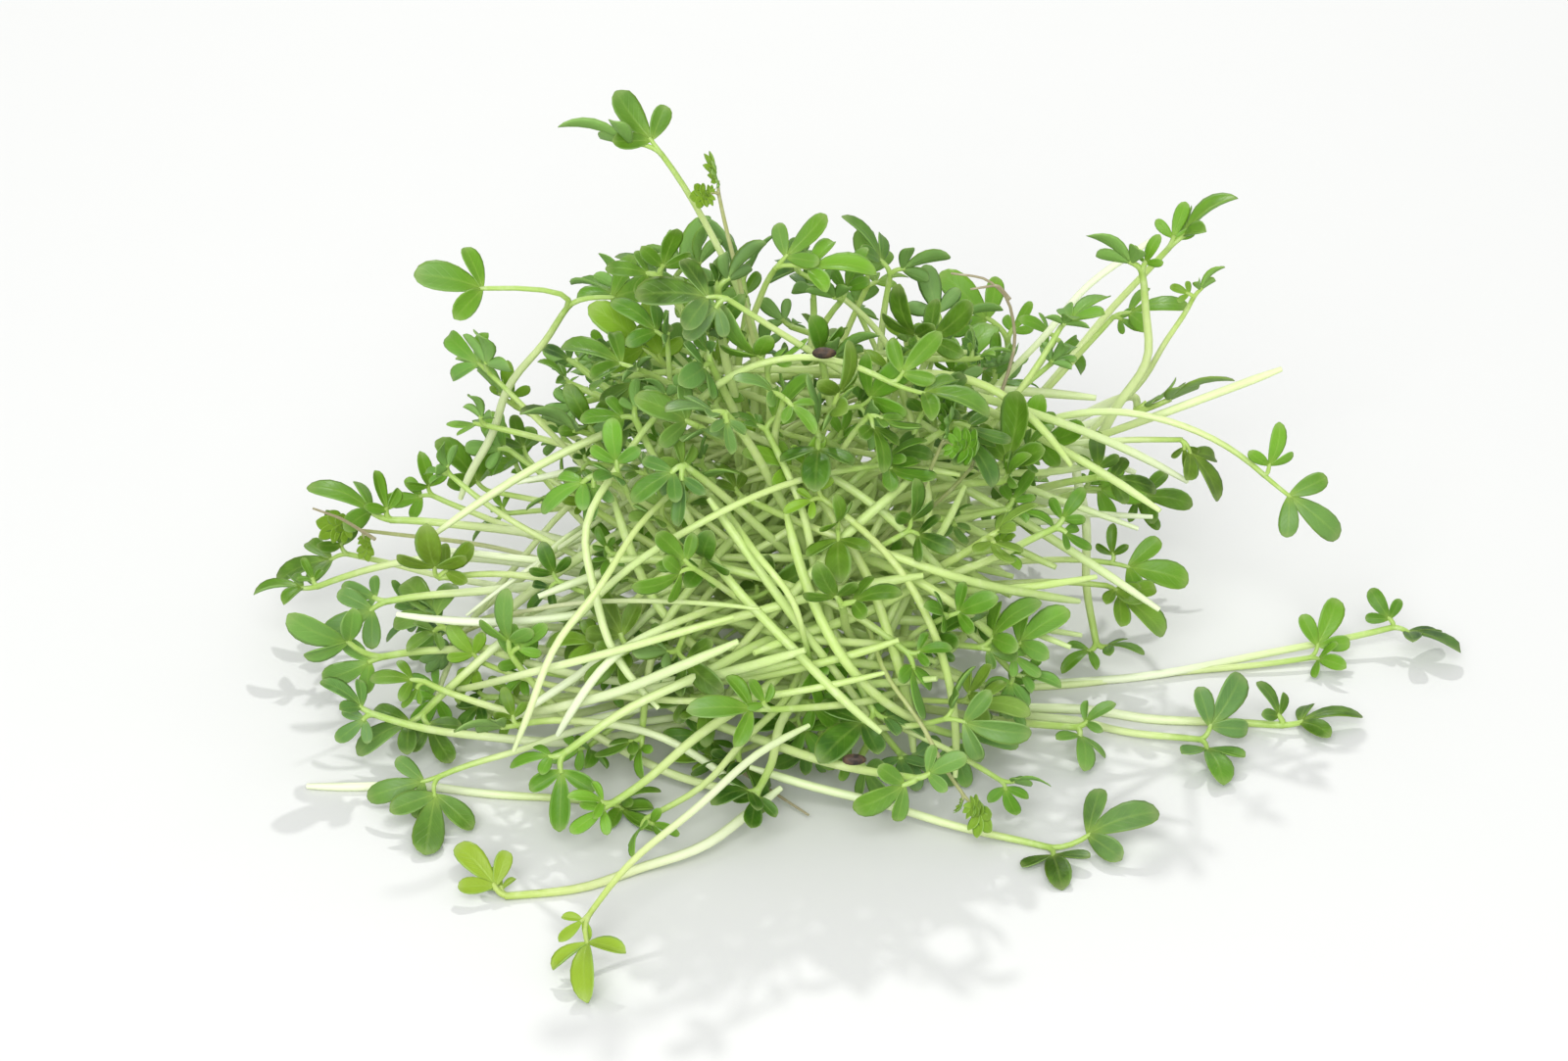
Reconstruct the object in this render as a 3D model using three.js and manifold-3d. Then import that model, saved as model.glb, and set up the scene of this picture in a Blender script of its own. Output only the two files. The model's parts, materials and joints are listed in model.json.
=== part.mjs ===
import * as THREE from "three";
import { mergeVertices } from "three/addons/utils/BufferGeometryUtils.js";
import Module from "manifold-3d";

// A loose heap of cut garden cress lying on a flat surface.
// Every sprout has a thin stem and two seed leaves, each of three lobes on a short stalk.
// Millimetres, +Z up, the surface at z = 0, +X to the right as the heap is seen from the front.

// Driving dimensions of one sprout
const STEM_RADIUS = 0.72;
const STEM_LENGTH = 38;
const STEM_END = 0.5;
const LEAF_STALK_HALF_WIDTH = 0.35;
const SHORT_STALK = 1.2;
const LEAF_THICKNESS = 0.64;
const LOBE_LENGTH = 9;
const LOBE_HALF_WIDTH = 2.1;
const SIDE_LOBE_LENGTH = 6.8;
const SIDE_LOBE_HALF_WIDTH = 1.5;
const SIDE_LOBE_ALONG = 0.52;
const SIDE_LOBE_ACROSS = 0.854;
const LOBE_SHARE = 0.8;
const SMALL_LEAF = 6.5;
const LEAF_BULGE = 0.9;

// Facets of a stem: sides round it and lengths along it
const FINE_STEP = 1 / 4096;
const STEM_SIDES = 4;
const STEM_STEPS = 3;

// The heap's middle, moved to the origin
const HEAP_MIDDLE_X = 9.2;
const HEAP_MIDDLE_Y = -19.2;

// Heights at which a stem or a leaf lies pressed on the surface
const STEM_LYING_HEIGHT = 0.36;
const LEAF_LYING_HEIGHT = 0.16;

// Room that sprouts of different bunches leave each other, measured on a grid of small cells
const CELL = 0.5;
const ROOM = 2.15;
const GRID_START = [-100, -120, -10];
const GRID_CELLS = [420, 380, 200];
const STEM_BEADS = 44;
const STALK_BEADS = 8;
const LOBE_BEADS = 7;
const SIDE_LOBE_BEADS = 5;
const FIRST_LOBE_BEAD = 2;
const LEAF_TO_LEAF = 1.4;
const LEAF_TO_STEM = 1.6;
const BENDING_COST = 0.03;
const MOST_TRIES = 3000;

// How far each point of a sprout may be bent away to come clear of the others
const FOOT_FREEDOM = 14;
const BEND_FREEDOM = 8;
const CROWN_FREEDOM = 2.5;
const TIP_FREEDOM = 3;

// Which way the upper side of most leaves faces
const FACING = [0, -0.55, 0.84];

// Bunches that give the heap its outline: a common foot, then the bend, the crown and the two leaf
// tips of each sprout that grows from it
const BUNCHES = [
  ["lying_right", [25, -10, 0.5], [[50, -6, 0.5], [68, -2, 0.6], [71, 0, 8], [73, -7, 1]],
    [[58, -3, 0.5], [79, 2, 3], [88, -4, 2], [76, 5, 7]]],
  ["lying_front", [23, -12, 0.5], [[46, -17, 0.5], [63, -20, 1], [73, -18, 2], [59, -18, 6]],
    [[41, -20, 0.6], [52, -25, 2], [54, -34, 0.6], [57, -19, 8]]],
  ["front_lying", [5, -40, 4], [[20, -44, 1.5], [32, -48, 0.5], [45, -47, 5], [33, -57, 0.5]]],
  ["long_front", [3, -42, 14], [[-11, -56, 11], [-22, -70, 5], [-22, -81, 0.6], [-26, -74, 4]]],
  ["yellow_front", [-9, -47, 3], [[-22, -56, 0.5], [-33, -59, 0.6], [-40, -55, 4], [-35, -54, 2]]],
  ["floor_cut", [-43, -35, 0.5], [[-31, -36, 0.5], [-21, -38, 0.5], [-13, -40, 3], [-15, -45, 1]]],
  ["peak", [-3, 8, 24], [[-5, 0, 50], [-15, -4, 72.3], [-27, -5, 74.7], [-20.5, -2, 79.5]],
    [[-5, 4, 43], [-1, -2, 56], [12, -3, 57], [5, -1, 63]]],
  ["peak_bud", [-1, -6, 38], [[-6, -4, 57], [-8, -4, 67], [-8, -4, 72], [-12, -5, 68]]],
  ["spar_left", [-38, 12, 25], [[-32, 8, 39], [-27, 4, 48], [-46, 0, 54], [-13, 1, 52]]],
  ["spar_right", [30, 6, 28], [[50, 3, 32], [61, 0, 26], [71, -2, 18], [62, 1, 33]],
    [[43, 6, 28], [51, 4, 30], [55, 2, 22], [50, 3, 25]]],
  ["right_tall", [35, 15, 20], [[45, 11, 34], [45, 8, 51], [38, 6, 57], [47, 8, 56]],
    [[46, 14, 33], [52, 11, 46], [55, 10, 50], [49, 12, 47]]],
  ["right_tip", [27, 22, 18], [[39, 26, 32], [50, 26, 46], [58, 27, 52], [52, 27, 52]],
    [[38, 18, 25], [45, 14, 30], [49, 14, 35], [55, 13, 34]]],
  ["across_top", [15, -10, 40], [[3, -13, 50], [-7, -15, 58], [-18, -17, 59], [-12, -18, 54]]],
  ["top_left", [-6, 0, 30], [[-11, 0, 45], [-15, -2, 55], [-22, -4, 57], [-13, -4, 62]],
    [[-7, -8, 46], [-9, -9, 55], [-10, -10, 63], [-2, -8, 62]]],
  ["top_right", [5, 0, 25], [[13, -2, 37], [17, -4, 46], [14, -5, 55], [23, -6, 53]],
    [[6, -8, 38], [6, -10, 46], [3, -11, 54], [10, -10, 51]]],
  ["top_front", [-3, -16, 44], [[6, -18, 51], [13, -20, 49], [24, -24, 47], [19, -20, 56]]],
  ["front_grey", [3, -17, 22], [[-2, -24, 39], [-7, -30, 50], [-15, -33, 51], [-6, -35, 47]],
    [[-6, -25, 35], [-12, -28, 42], [-18, -32, 39], [-13, -33, 36]]],
  ["crown_left", [-4, -12, 24], [[-1, -20, 41], [0, -24, 49], [-6, -26, 53], [4, -28, 46]],
    [[-15, -16, 29], [-23, -19, 36], [-30, -21, 32], [-24, -22, 31]]],
  ["front_top", [3, -11, 27], [[7, -20, 40], [10, -22, 46], [12, -28, 41], [17, -26, 45]],
    [[15, -13, 38], [21, -15, 41], [25, -19, 34], [28, -17, 40]]],
  ["side_dark", [10, -7, 20], [[19, -11, 30], [26, -14, 33], [31, -15, 39], [29, -10, 43]],
    [[20, -9, 24], [28, -10, 27], [34, -12, 25], [31, -7, 31]]],
  ["side_up", [15, 8, 17], [[25, 4, 24], [31, 2, 29], [33, 2, 36], [38, 0, 33]]],
  ["right_leafy", [22, 25, 14], [[35, 20, 28], [42, 18, 40], [51, 17, 42], [46, 16, 39]],
    [[31, 32, 22], [36, 32, 30], [31, 30, 34], [40, 33, 24]]],
  ["back_curl", [17, 34, 11], [[30, 39, 18], [30, 40, 26], [21, 42, 35], [33, 42, 31]]],
  ["right_cut", [57, 4, 35], [[45, 10, 27], [33, 13, 22], [25, 15, 26], [27, 13, 16]]],
  ["back_cut", [38, 22, 37], [[31, 17, 31], [23, 10, 25], [15, 6, 27], [20, 8, 19]]],
  ["right_fan", [16, 11, 6], [[30, 8, 19], [40, 5, 24], [48, 4, 22], [41, 6, 31]]],
  ["right_far", [20, 26, 4], [[33, 26, 10], [46, 24, 11], [53, 23, 10], [50, 21, 7]]],
  ["right_pair", [12, -3, 10], [[30, -2, 15], [42, -1, 14], [52, -3, 12], [42, 1, 19]],
    [[31, -6, 14], [41, -7, 14], [48, -10, 9], [45, -12, 14]]],
  ["right_down", [37, 14, 18], [[39, 3, 11], [40, -5, 4], [46, -8, 5], [35, -10, 2]]],
  ["right_low", [6, -16, 11], [[16, -23, 15], [24, -27, 17], [31, -28, 20], [29, -31, 14]],
    [[15, -27, 9], [22, -31, 11], [30, -34, 11], [25, -32, 17]]],
  ["front_right", [6, -30, 10], [[13, -34, 9], [20, -37, 11], [30, -40, 12], [25, -35, 16]],
    [[20, -36, 7], [26, -40, 6], [34, -42, 6], [28, -46, 4]]],
  ["front_crumple", [-2, -36, 9], [[9, -42, 8], [16, -46, 9], [22, -46, 12], [10, -48, 6]]],
  ["front_bud", [18, -33, 12], [[22, -40, 8], [23, -44, 5], [23, -47, 1], [20, -47, 3]]],
  ["front_rolled", [-2, -33, 12], [[-10, -44, 7], [-15, -49, 4], [-19, -54, 1], [-10, -52, 2]],
    [[0, -40, 8], [-3, -45, 7], [-9, -50, 9], [-4, -51, 5]]],
  ["front_left", [-9, -37, 12], [[-15, -44, 9], [-19, -47, 6], [-26, -50, 9], [-24, -54, 3]],
    [[-21, -40, 12], [-27, -43, 9], [-32, -45, 6], [-27, -49, 3]]],
  ["white_cut", [-28, -42, 7], [[-22, -38, 19], [-3, -26, 24], [4, -26, 28], [0, -20, 28]]],
  ["left_front", [-21, -30, 6], [[-33, -36, 7], [-42, -39, 5], [-52, -42, 2], [-43, -50, 1]],
    [[-37, -28, 4], [-50, -29, 8], [-56, -28, 11], [-55, -32, 6]]],
  ["left_curl", [-19, -14, 17], [[-35, -22, 14], [-45, -27, 7], [-50, -31, 3], [-43, -33, 1]]],
  ["far_left", [-20, -4, 12], [[-46, -2, 15], [-60, 0, 10], [-68, 1, 9], [-62, 3, 13]],
    [[-34, -11, 16], [-50, -13, 15], [-58, -16, 11], [-56, -10, 16]]],
  ["left_middle", [-20, 4, 4], [[-43, 8, 7], [-57, 9, 10], [-66, 8, 6], [-59, 8, 17]],
    [[-34, 0, 6], [-43, -4, 6], [-49, -3, 10], [-48, -6, 3]]],
  ["left_top", [-16, 5, 9], [[-35, 4, 16], [-51, 4, 18], [-60, 4, 24], [-52, 4, 25]]],
  ["left_bud", [-19, 9, 5], [[-39, 9, 11], [-55, 8, 14], [-62, 7, 16], [-54, 6, 11]]],
  ["left_high", [-19, 10, 10], [[-35, 13, 13], [-46, 14, 16], [-47, 15, 24], [-52, 12, 16]]],
  ["left_wide", [-18, -14, 6], [[-36, -16, 10], [-50, -20, 11], [-60, -24, 16], [-57, -27, 10]],
    [[-35, -22, 8], [-46, -25, 10], [-53, -27, 9], [-49, -29, 7]]],
  ["left_upright", [-20, -26, 4], [[-28, -26, 10], [-33, -28, 16], [-34, -28, 25], [-29, -28, 20]],
    [[-26, -36, 8], [-32, -38, 10], [-39, -40, 12], [-34, -36, 16]]],
  ["back_left", [-13, 23, 9], [[-19, 26, 22], [-23, 24, 30], [-31, 24, 31], [-25, 24, 35]],
    [[-27, 20, 21], [-36, 18, 28], [-40, 18, 32], [-36, 19, 33]]],
  ["upper_left", [-12, -6, 19], [[-18, -3, 28], [-24, -6, 34], [-31, -8, 39], [-27, -6, 42]],
    [[-31, -14, 19], [-43, -16, 20], [-44, -19, 29], [-39, -16, 24]]],
  ["upper_curl", [-6, 5, 22], [[-13, 4, 34], [-19, 0, 42], [-23, -7, 36], [-13, -2, 48]],
    [[-11, -2, 39], [-16, -6, 46], [-22, -8, 50], [-17, -8, 53]]],
  ["face_dark", [-1, -26, 18], [[-8, -34, 29], [-11, -37, 33], [-18, -41, 32], [-15, -38, 38]]],
  ["face_centre", [4, -22, 10], [[6, -32, 23], [7, -35, 28], [14, -38, 30], [4, -38, 34]],
    [[16, -27, 18], [20, -30, 22], [26, -32, 26], [17, -34, 26]]],
  ["face_low", [8, -28, 14], [[2, -38, 15], [-2, -42, 15], [-10, -45, 17], [-4, -43, 21]]],
];

// Bunches whose small leaves are toothed true leaves, and bunches of a yellower green
const TOOTHED = new Set(["peak_bud", "front_bud", "left_bud"]);
const YELLOW = new Set(["long_front", "yellow_front", "peak_bud", "left_bud", "front_bud"]);

// Bunches that fill the back of the heap, placed by a seeded rule on a low dome
const BACK_BUNCHES = 5;
const BACK_SEED = 41;
const DOME_X = 46;
const DOME_Y = 40;
const DOME_Z = 44;

// Seed husks caught in the heap, and their middles
const HUSKS = [["seed_husk_1", [5, -19, 52]], ["seed_husk_2", [10, -47, 12]]];
const HUSK_HALF_LENGTH = 1.5;
const HUSK_HALF_WIDTH = 0.8;
const HUSK_SEED = 7;

// Bunches whose joins come out clean with their stems turned a little from the start, in radians
const TURNED = { side_up: 0.17 };

const LEAF_GREEN = 0x3f7d35;
const YELLOW_GREEN = 0x8fae3c;
const HUSK_BROWN = 0x3a2a22;

// Points and directions as lists of three numbers
const add = (a, b) => [a[0] + b[0], a[1] + b[1], a[2] + b[2]];
const times = (a, k) => [a[0] * k, a[1] * k, a[2] * k];
const minus = (a, b) => [a[0] - b[0], a[1] - b[1], a[2] - b[2]];
const dot = (a, b) => a[0] * b[0] + a[1] * b[1] + a[2] * b[2];
const cross = (a, b) => [
  a[1] * b[2] - a[2] * b[1],
  a[2] * b[0] - a[0] * b[2],
  a[0] * b[1] - a[1] * b[0],
];
const length = (a) => Math.sqrt(dot(a, a));
const unit = (a) => times(a, 1 / length(a));

// A repeatable draw of numbers from 0 to 1
function drawFrom(seed) {
  let state = seed;
  return () => {
    state = (Math.imul(state, 1664525) + 1013904223) >>> 0;
    return state / 4294967296;
  };
}

function nudge(point, reach, draw) {
  return point.map((value) => value + reach * (2 * draw() - 1));
}

// Puts a point back within reach of its home, and no lower than a lying stem
function keepNear(point, home, reach, lowest) {
  const held = point.map((value, i) => Math.min(Math.max(value, home[i] - reach), home[i] + reach));
  held[2] = Math.max(held[2], lowest);
  return held;
}

// A stem is a quadratic curve from foot to crown that passes its bend on the way
function stemControl(foot, bend, crown) {
  const lower = length(minus(bend, foot));
  const share = lower / (lower + length(minus(crown, bend)));
  const rest = 1 - share;
  const ends = add(times(foot, rest * rest), times(crown, share * share));
  return times(minus(bend, ends), 1 / (2 * rest * share));
}

function stemOf(bunch, sprout) {
  const control = stemControl(bunch.foot, sprout.bend, sprout.crown);
  return { foot: bunch.foot, control, crown: sprout.crown };
}

function stemPoint(stem, share) {
  const rest = 1 - share;
  const start = times(stem.foot, rest * rest);
  const middle = times(stem.control, 2 * rest * share);
  return add(add(start, middle), times(stem.crown, share * share));
}

// A leaf's own directions, the length of its middle lobe and the joint where its lobes meet
function leafFrame(crown, tip, facing, cup) {
  const reach = length(minus(tip, crown));
  const along = unit(minus(tip, crown));
  const across = unit(cross(facing, along));
  const up = cross(along, across);
  const lobe = Math.min(LOBE_LENGTH, LOBE_SHARE * reach);
  const stalk = reach - lobe;
  return { along, across, up, lobe, stalk, cup, joint: add(crown, times(along, stalk)) };
}

// Both leaves of a sprout. They share one band across the crown, so the second is turned over if its
// right side would meet the first one's right side.
function leafPair(sprout) {
  const [first, second] = [0, 1].map((i) =>
    leafFrame(sprout.crown, sprout.tips[i], sprout.facings[i], sprout.cups[i]));
  if (dot(first.across, second.across) > 0) {
    second.across = times(second.across, -1);
    second.up = times(second.up, -1);
  }
  return [first, second];
}

// A point of the leaf: u along it from the joint, v across it, w up from its middle surface
function leafPoint(leaf, u, v, w) {
  const share = Math.min(Math.max(u / leaf.lobe, 0), 1);
  const rise = w + LEAF_BULGE * 4 * share * (1 - share) * (leaf.lobe / LOBE_LENGTH) - leaf.cup * v * v;
  const flat = add(add(leaf.joint, times(leaf.along, u)), times(leaf.across, v));
  return add(flat, times(leaf.up, rise));
}

// Small beads over a sprout, used to find where two bunches would cross
function stemBeads(stem) {
  const beads = [];
  for (let i = 0; i < STEM_BEADS; i += 1) {
    beads.push(stemPoint(stem, i / (STEM_BEADS - 1)));
  }
  return beads;
}

function lobeBeads(leaf, count, lobeLength, halfWidth, alongShare, acrossShare) {
  const beads = [];
  for (let i = 0; i < count; i += 1) {
    const share = (i + 0.7) / count;
    for (let side = -1; side <= 1; side += 1) {
      const reach = share * lobeLength;
      const width = side * halfWidth * 2.6 * share * (1.15 - share);
      const u = reach * alongShare - width * acrossShare;
      const v = reach * acrossShare + width * alongShare;
      beads.push(leafPoint(leaf, u, v, 0));
    }
  }
  return beads;
}

function leafBeads(leaf) {
  const size = leaf.lobe / LOBE_LENGTH;
  const beads = [];
  for (let i = 0; i < STALK_BEADS; i += 1) {
    beads.push(leafPoint(leaf, -leaf.stalk * (i / STALK_BEADS), 0, 0));
  }
  const sideLength = SIDE_LOBE_LENGTH * size;
  const sideWidth = SIDE_LOBE_HALF_WIDTH * size;
  const [sideAlong, sideAcross] = [SIDE_LOBE_ALONG, SIDE_LOBE_ACROSS];
  beads.push(...lobeBeads(leaf, LOBE_BEADS, leaf.lobe, LOBE_HALF_WIDTH * size, 1, 0));
  beads.push(...lobeBeads(leaf, SIDE_LOBE_BEADS, sideLength, sideWidth, sideAlong, sideAcross));
  beads.push(...lobeBeads(leaf, SIDE_LOBE_BEADS, sideLength, sideWidth, sideAlong, -sideAcross));
  return beads;
}

// The cells round the bunches that are already placed
const taken = new Uint8Array(GRID_CELLS[0] * GRID_CELLS[1] * GRID_CELLS[2]);
const cellAt = (value, axis) => Math.floor((value - GRID_START[axis]) / CELL);
const cellNumber = (i, j, k) => (k * GRID_CELLS[1] + j) * GRID_CELLS[0] + i;

function takeRoom(bead) {
  const middle = bead.map(cellAt);
  const span = Math.ceil(ROOM / CELL);
  for (let k = middle[2] - span; k <= middle[2] + span; k += 1) {
    for (let j = middle[1] - span; j <= middle[1] + span; j += 1) {
      for (let i = middle[0] - span; i <= middle[0] + span; i += 1) {
        const corner = [i, j, k].map((index, axis) => GRID_START[axis] + (index + 0.5) * CELL);
        const away = minus(corner, bead);
        if (dot(away, away) <= ROOM * ROOM && k >= 0) {
          taken[cellNumber(i, j, k)] = 1;
        }
      }
    }
  }
}

function isTaken(bead) {
  return taken[cellNumber(cellAt(bead[0], 0), cellAt(bead[1], 1), cellAt(bead[2], 2))];
}

// The beads of a leaf's lobes, past their roots
function lobesOnly(beads) {
  const lobes = [];
  let first = STALK_BEADS;
  for (const count of [LOBE_BEADS, SIDE_LOBE_BEADS, SIDE_LOBE_BEADS]) {
    lobes.push(...beads.slice(first + 3 * FIRST_LOBE_BEAD, first + 3 * count));
    first += 3 * count;
  }
  return lobes;
}

function pairsWithin(some, others, reach) {
  let found = 0;
  for (const a of some) {
    for (const b of others) {
      const away = minus(a, b);
      found += dot(away, away) < reach * reach ? 1 : 0;
    }
  }
  return found;
}

// A bunch's beads, how many are in the way of another bunch, of its own leaves or too low, and the
// stems (part 0) and leaves (parts 1 and 2) that they belong to
function measure(bunch) {
  const beads = [];
  const stems = [];
  const leaves = [];
  bunch.sprouts.forEach((sprout, which) => {
    const stem = { which, part: 0, beads: stemBeads(stemOf(bunch, sprout)) };
    stem.clashes = blocked(stem.beads, STEM_LYING_HEIGHT - 0.08);
    stem.line = stem.beads.slice(0, -3);
    stems.push(stem);
    leafPair(sprout).forEach((frame, side) => {
      const leaf = { which, part: side + 1, beads: leafBeads(frame) };
      leaf.clashes = blocked(leaf.beads, LEAF_LYING_HEIGHT - 0.05);
      leaf.line = lobesOnly(leaf.beads);
      leaves.push(leaf);
    });
  });
  for (let i = 0; i < leaves.length; i += 1) {
    for (let j = i + 1; j < leaves.length; j += 1) {
      leaves[i].clashes += pairsWithin(leaves[i].line, leaves[j].line, LEAF_TO_LEAF);
    }
    for (const stem of stems) {
      leaves[i].clashes += pairsWithin(leaves[i].line, stem.line, LEAF_TO_STEM);
    }
  }
  const parts = [...stems, ...leaves];
  parts.forEach((part) => beads.push(...part.beads));
  const trouble = parts.filter((part) => part.clashes > 0).map((part) => [part.which, part.part]);
  return { clashes: parts.reduce((sum, part) => sum + part.clashes, 0), beads, trouble };
}

function blocked(beads, lowest) {
  return beads.reduce((sum, bead) => sum + isTaken(bead) + (bead[2] < lowest ? 1 : 0), 0);
}

// One small change of a stem or a leaf that is in the way, held within the freedom of each point
function change(bunch, home, trouble, draw) {
  const next = { foot: bunch.foot, sprouts: bunch.sprouts.map((sprout) => ({ ...sprout })) };
  const [which, part] = trouble[Math.floor(draw() * trouble.length)];
  const kind = draw();
  const sprout = next.sprouts[which];
  const origin = home.sprouts[which];
  const side = part - 1;
  if (kind > 0.85) {
    const crown = nudge(sprout.crown, 0.8, draw);
    sprout.crown = keepNear(crown, origin.crown, CROWN_FREEDOM, STEM_LYING_HEIGHT);
  } else if (part === 0 && kind < 0.45) {
    next.foot = keepNear(nudge(bunch.foot, 3, draw), home.foot, FOOT_FREEDOM, STEM_LYING_HEIGHT);
  } else if (part === 0) {
    sprout.bend = keepNear(nudge(sprout.bend, 2, draw), origin.bend, BEND_FREEDOM, STEM_LYING_HEIGHT);
  } else if (kind < 0.45) {
    const facing = unit(nudge(sprout.facings[side], 0.6, draw));
    sprout.facings = sprout.facings.map((old, i) => (i === side ? facing : old));
  } else {
    const tip = nudge(sprout.tips[side], 1.2, draw);
    const held = keepNear(tip, origin.tips[side], TIP_FREEDOM, LEAF_LYING_HEIGHT);
    sprout.tips = sprout.tips.map((old, i) => (i === side ? held : old));
  }
  return next;
}

// How far a bunch has been bent from its home
function bending(bunch, home) {
  let total = length(minus(bunch.foot, home.foot));
  bunch.sprouts.forEach((sprout, i) => {
    const origin = home.sprouts[i];
    total += 2 * length(minus(sprout.bend, origin.bend));
    total += 3 * length(minus(sprout.crown, origin.crown));
    total += 2 * length(minus(sprout.tips[0], origin.tips[0]));
    total += 2 * length(minus(sprout.tips[1], origin.tips[1]));
  });
  return total;
}

// Bends a bunch, a little at a time, until it is clear of all that are placed, then takes its room
function placeBunch(home, draw) {
  let best = home;
  let found = measure(home);
  let cost = found.clashes;
  for (let i = 0; i < MOST_TRIES && found.clashes > 0; i += 1) {
    const next = change(best, home, found.trouble, draw);
    const tried = measure(next);
    const nextCost = tried.clashes + BENDING_COST * bending(next, home);
    if (nextCost <= cost) {
      best = next;
      found = tried;
      cost = nextCost;
    }
  }
  found.beads.forEach(takeRoom);
  return best;
}

// A stem that was seen only in part is carried on past its foot to a sprout's usual length
function wholeFoot(foot, sprout) {
  const upper = length(minus(sprout.crown, sprout.bend));
  const lower = length(minus(foot, sprout.bend));
  const share = Math.max((STEM_LENGTH - upper) / lower, 1);
  const whole = add(sprout.bend, times(minus(foot, sprout.bend), share));
  whole[2] = Math.max(whole[2], STEM_LYING_HEIGHT);
  return whole;
}

function homeBunch(foot, rows, draw) {
  const sprouts = rows.map(([bend, crown, ...tips]) => ({
    bend,
    crown,
    tips,
    facings: tips.map(() => unit(nudge(FACING, 0.4, draw))),
    cups: tips.map(() => 0.05 * draw() - 0.015),
  }));
  return { foot: wholeFoot(foot, sprouts[0]), sprouts };
}

// A sprout of the heap's back: its crown on the dome, its leaves further out, its bend a little high
function backRow(foot, turn, draw) {
  const side = unit([turn + 0.3 * (draw() - 0.5), 0.35 + 0.4 * draw(), 0.15 + 0.6 * draw()]);
  const crown = [side[0] * DOME_X, side[1] * DOME_Y, side[2] * DOME_Z + 3];
  const bend = add(times(add(foot, crown), 0.5), [0, 0, 4 * draw()]);
  const outward = add(crown, times(side, 6));
  const tips = [0, 1].map(() => nudge(outward, 5, draw));
  return [bend, crown, ...tips.map((tip) => [tip[0], tip[1], Math.max(tip[2], 1)])];
}

function layOut() {
  const layout = [];
  BUNCHES.forEach(([name, foot, ...rows], index) => {
    const draw = drawFrom(100 + index);
    layout.push({ name: `cress_${name}`, key: name, ...placeBunch(homeBunch(foot, rows, draw), draw) });
  });
  for (let index = 0; index < BACK_BUNCHES; index += 1) {
    const draw = drawFrom(BACK_SEED + index);
    const turn = (2 * index) / (BACK_BUNCHES - 1) - 1;
    const foot = [16 * turn + 16 * (draw() - 0.5), 14 * draw(), 2 + 12 * draw()];
    const rows = [backRow(foot, turn, draw)];
    const name = `back_${index + 1}`;
    layout.push({ name: `cress_${name}`, key: name, ...placeBunch(homeBunch(foot, rows, draw), draw) });
  }
  return layout;
}

// A husk is caught close to a stem or leaf: the nearest free place round its home
function placeHusk(home, draw) {
  const beads = (middle) => [-1, 0, 1].map((side) => add(middle, [side, 0, 0]));
  let middle = home;
  for (let i = 0; i < MOST_TRIES && beads(middle).some(isTaken); i += 1) {
    middle = nudge(home, 0.3 + i / 200, draw);
  }
  beads(middle).forEach(takeRoom);
  return middle;
}

// Closed meshes for the solid modeller and back
const wasm = await Module();
wasm.setup();

function solidOf(geometry) {
  const bare = geometry.clone();
  bare.deleteAttribute("normal");
  bare.deleteAttribute("uv");
  const merged = mergeVertices(bare, 1e-4);
  const vertProperties = new Float32Array(merged.attributes.position.array);
  const triVerts = new Uint32Array(merged.index.array);
  return new wasm.Manifold(new wasm.Mesh({ numProp: 3, vertProperties, triVerts }));
}

// The corners are rounded to a fine step, and triangles that shrink to a line by it are dropped
function geometryOf(solid) {
  const mesh = solid.getMesh();
  const rounded = mesh.vertProperties.map((value) => Math.round(value / FINE_STEP) * FINE_STEP);
  const geometry = new THREE.BufferGeometry();
  geometry.setAttribute("position", new THREE.BufferAttribute(rounded, 3));
  geometry.setIndex(new THREE.BufferAttribute(mesh.triVerts, 1));
  const merged = mergeVertices(geometry, FINE_STEP / 4);
  const kept = [];
  const corners = merged.index.array;
  for (let i = 0; i < corners.length; i += 3) {
    const [a, b, c] = corners.slice(i, i + 3);
    if (a !== b && b !== c && c !== a) {
      kept.push(a, b, c);
    }
  }
  merged.setIndex(kept);
  merged.computeVertexNormals();
  return merged;
}

// A sound surface has exactly two triangles at every edge
function isSound(geometry) {
  const uses = new Map();
  const corners = geometry.index.array;
  for (let i = 0; i < corners.length; i += 3) {
    for (let k = 0; k < 3; k += 1) {
      const [a, b] = [corners[i + k], corners[i + ((k + 1) % 3)]];
      const edge = Math.min(a, b) * 100000 + Math.max(a, b);
      uses.set(edge, (uses.get(edge) ?? 0) + 1);
    }
  }
  return [...uses.values()].every((count) => count === 2);
}

const toVector = (point) => new THREE.Vector3(...point);

// Moves a piece so that the heap's middle comes to the origin
const centred = (geometry) => geometry.translate(-HEAP_MIDDLE_X, -HEAP_MIDDLE_Y, 0);

function stemGeometry({ foot, control, crown }, turn) {
  const end = add(crown, times(unit(minus(crown, control)), STEM_END));
  const path = new THREE.QuadraticBezierCurve3(toVector(foot), toVector(control), toVector(end));
  const section = new THREE.Shape();
  for (let i = 0; i < STEM_SIDES; i += 1) {
    const angle = (2 * Math.PI * (i + 0.5)) / STEM_SIDES + turn;
    const [x, y] = [STEM_RADIUS * Math.cos(angle), STEM_RADIUS * Math.sin(angle)];
    if (i === 0) {
      section.moveTo(x, y);
    } else {
      section.lineTo(x, y);
    }
  }
  return new THREE.ExtrudeGeometry(section, { steps: STEM_STEPS, extrudePath: path });
}

// Half of a lobe's outline, as shares of its length and half width, from its root to its tip
const LOBE_OUTLINE = [[0.46, 1], [0.8, 0.75], [1, 0]];
const SMALL_LOBE_OUTLINE = [[0.55, 1.05], [1, 0]];
const TOOTH_OUTLINE = [[0.3, 1.5], [0.5, 1], [0.68, 1.7], [0.8, 0.7], [1, 0]];

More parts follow.
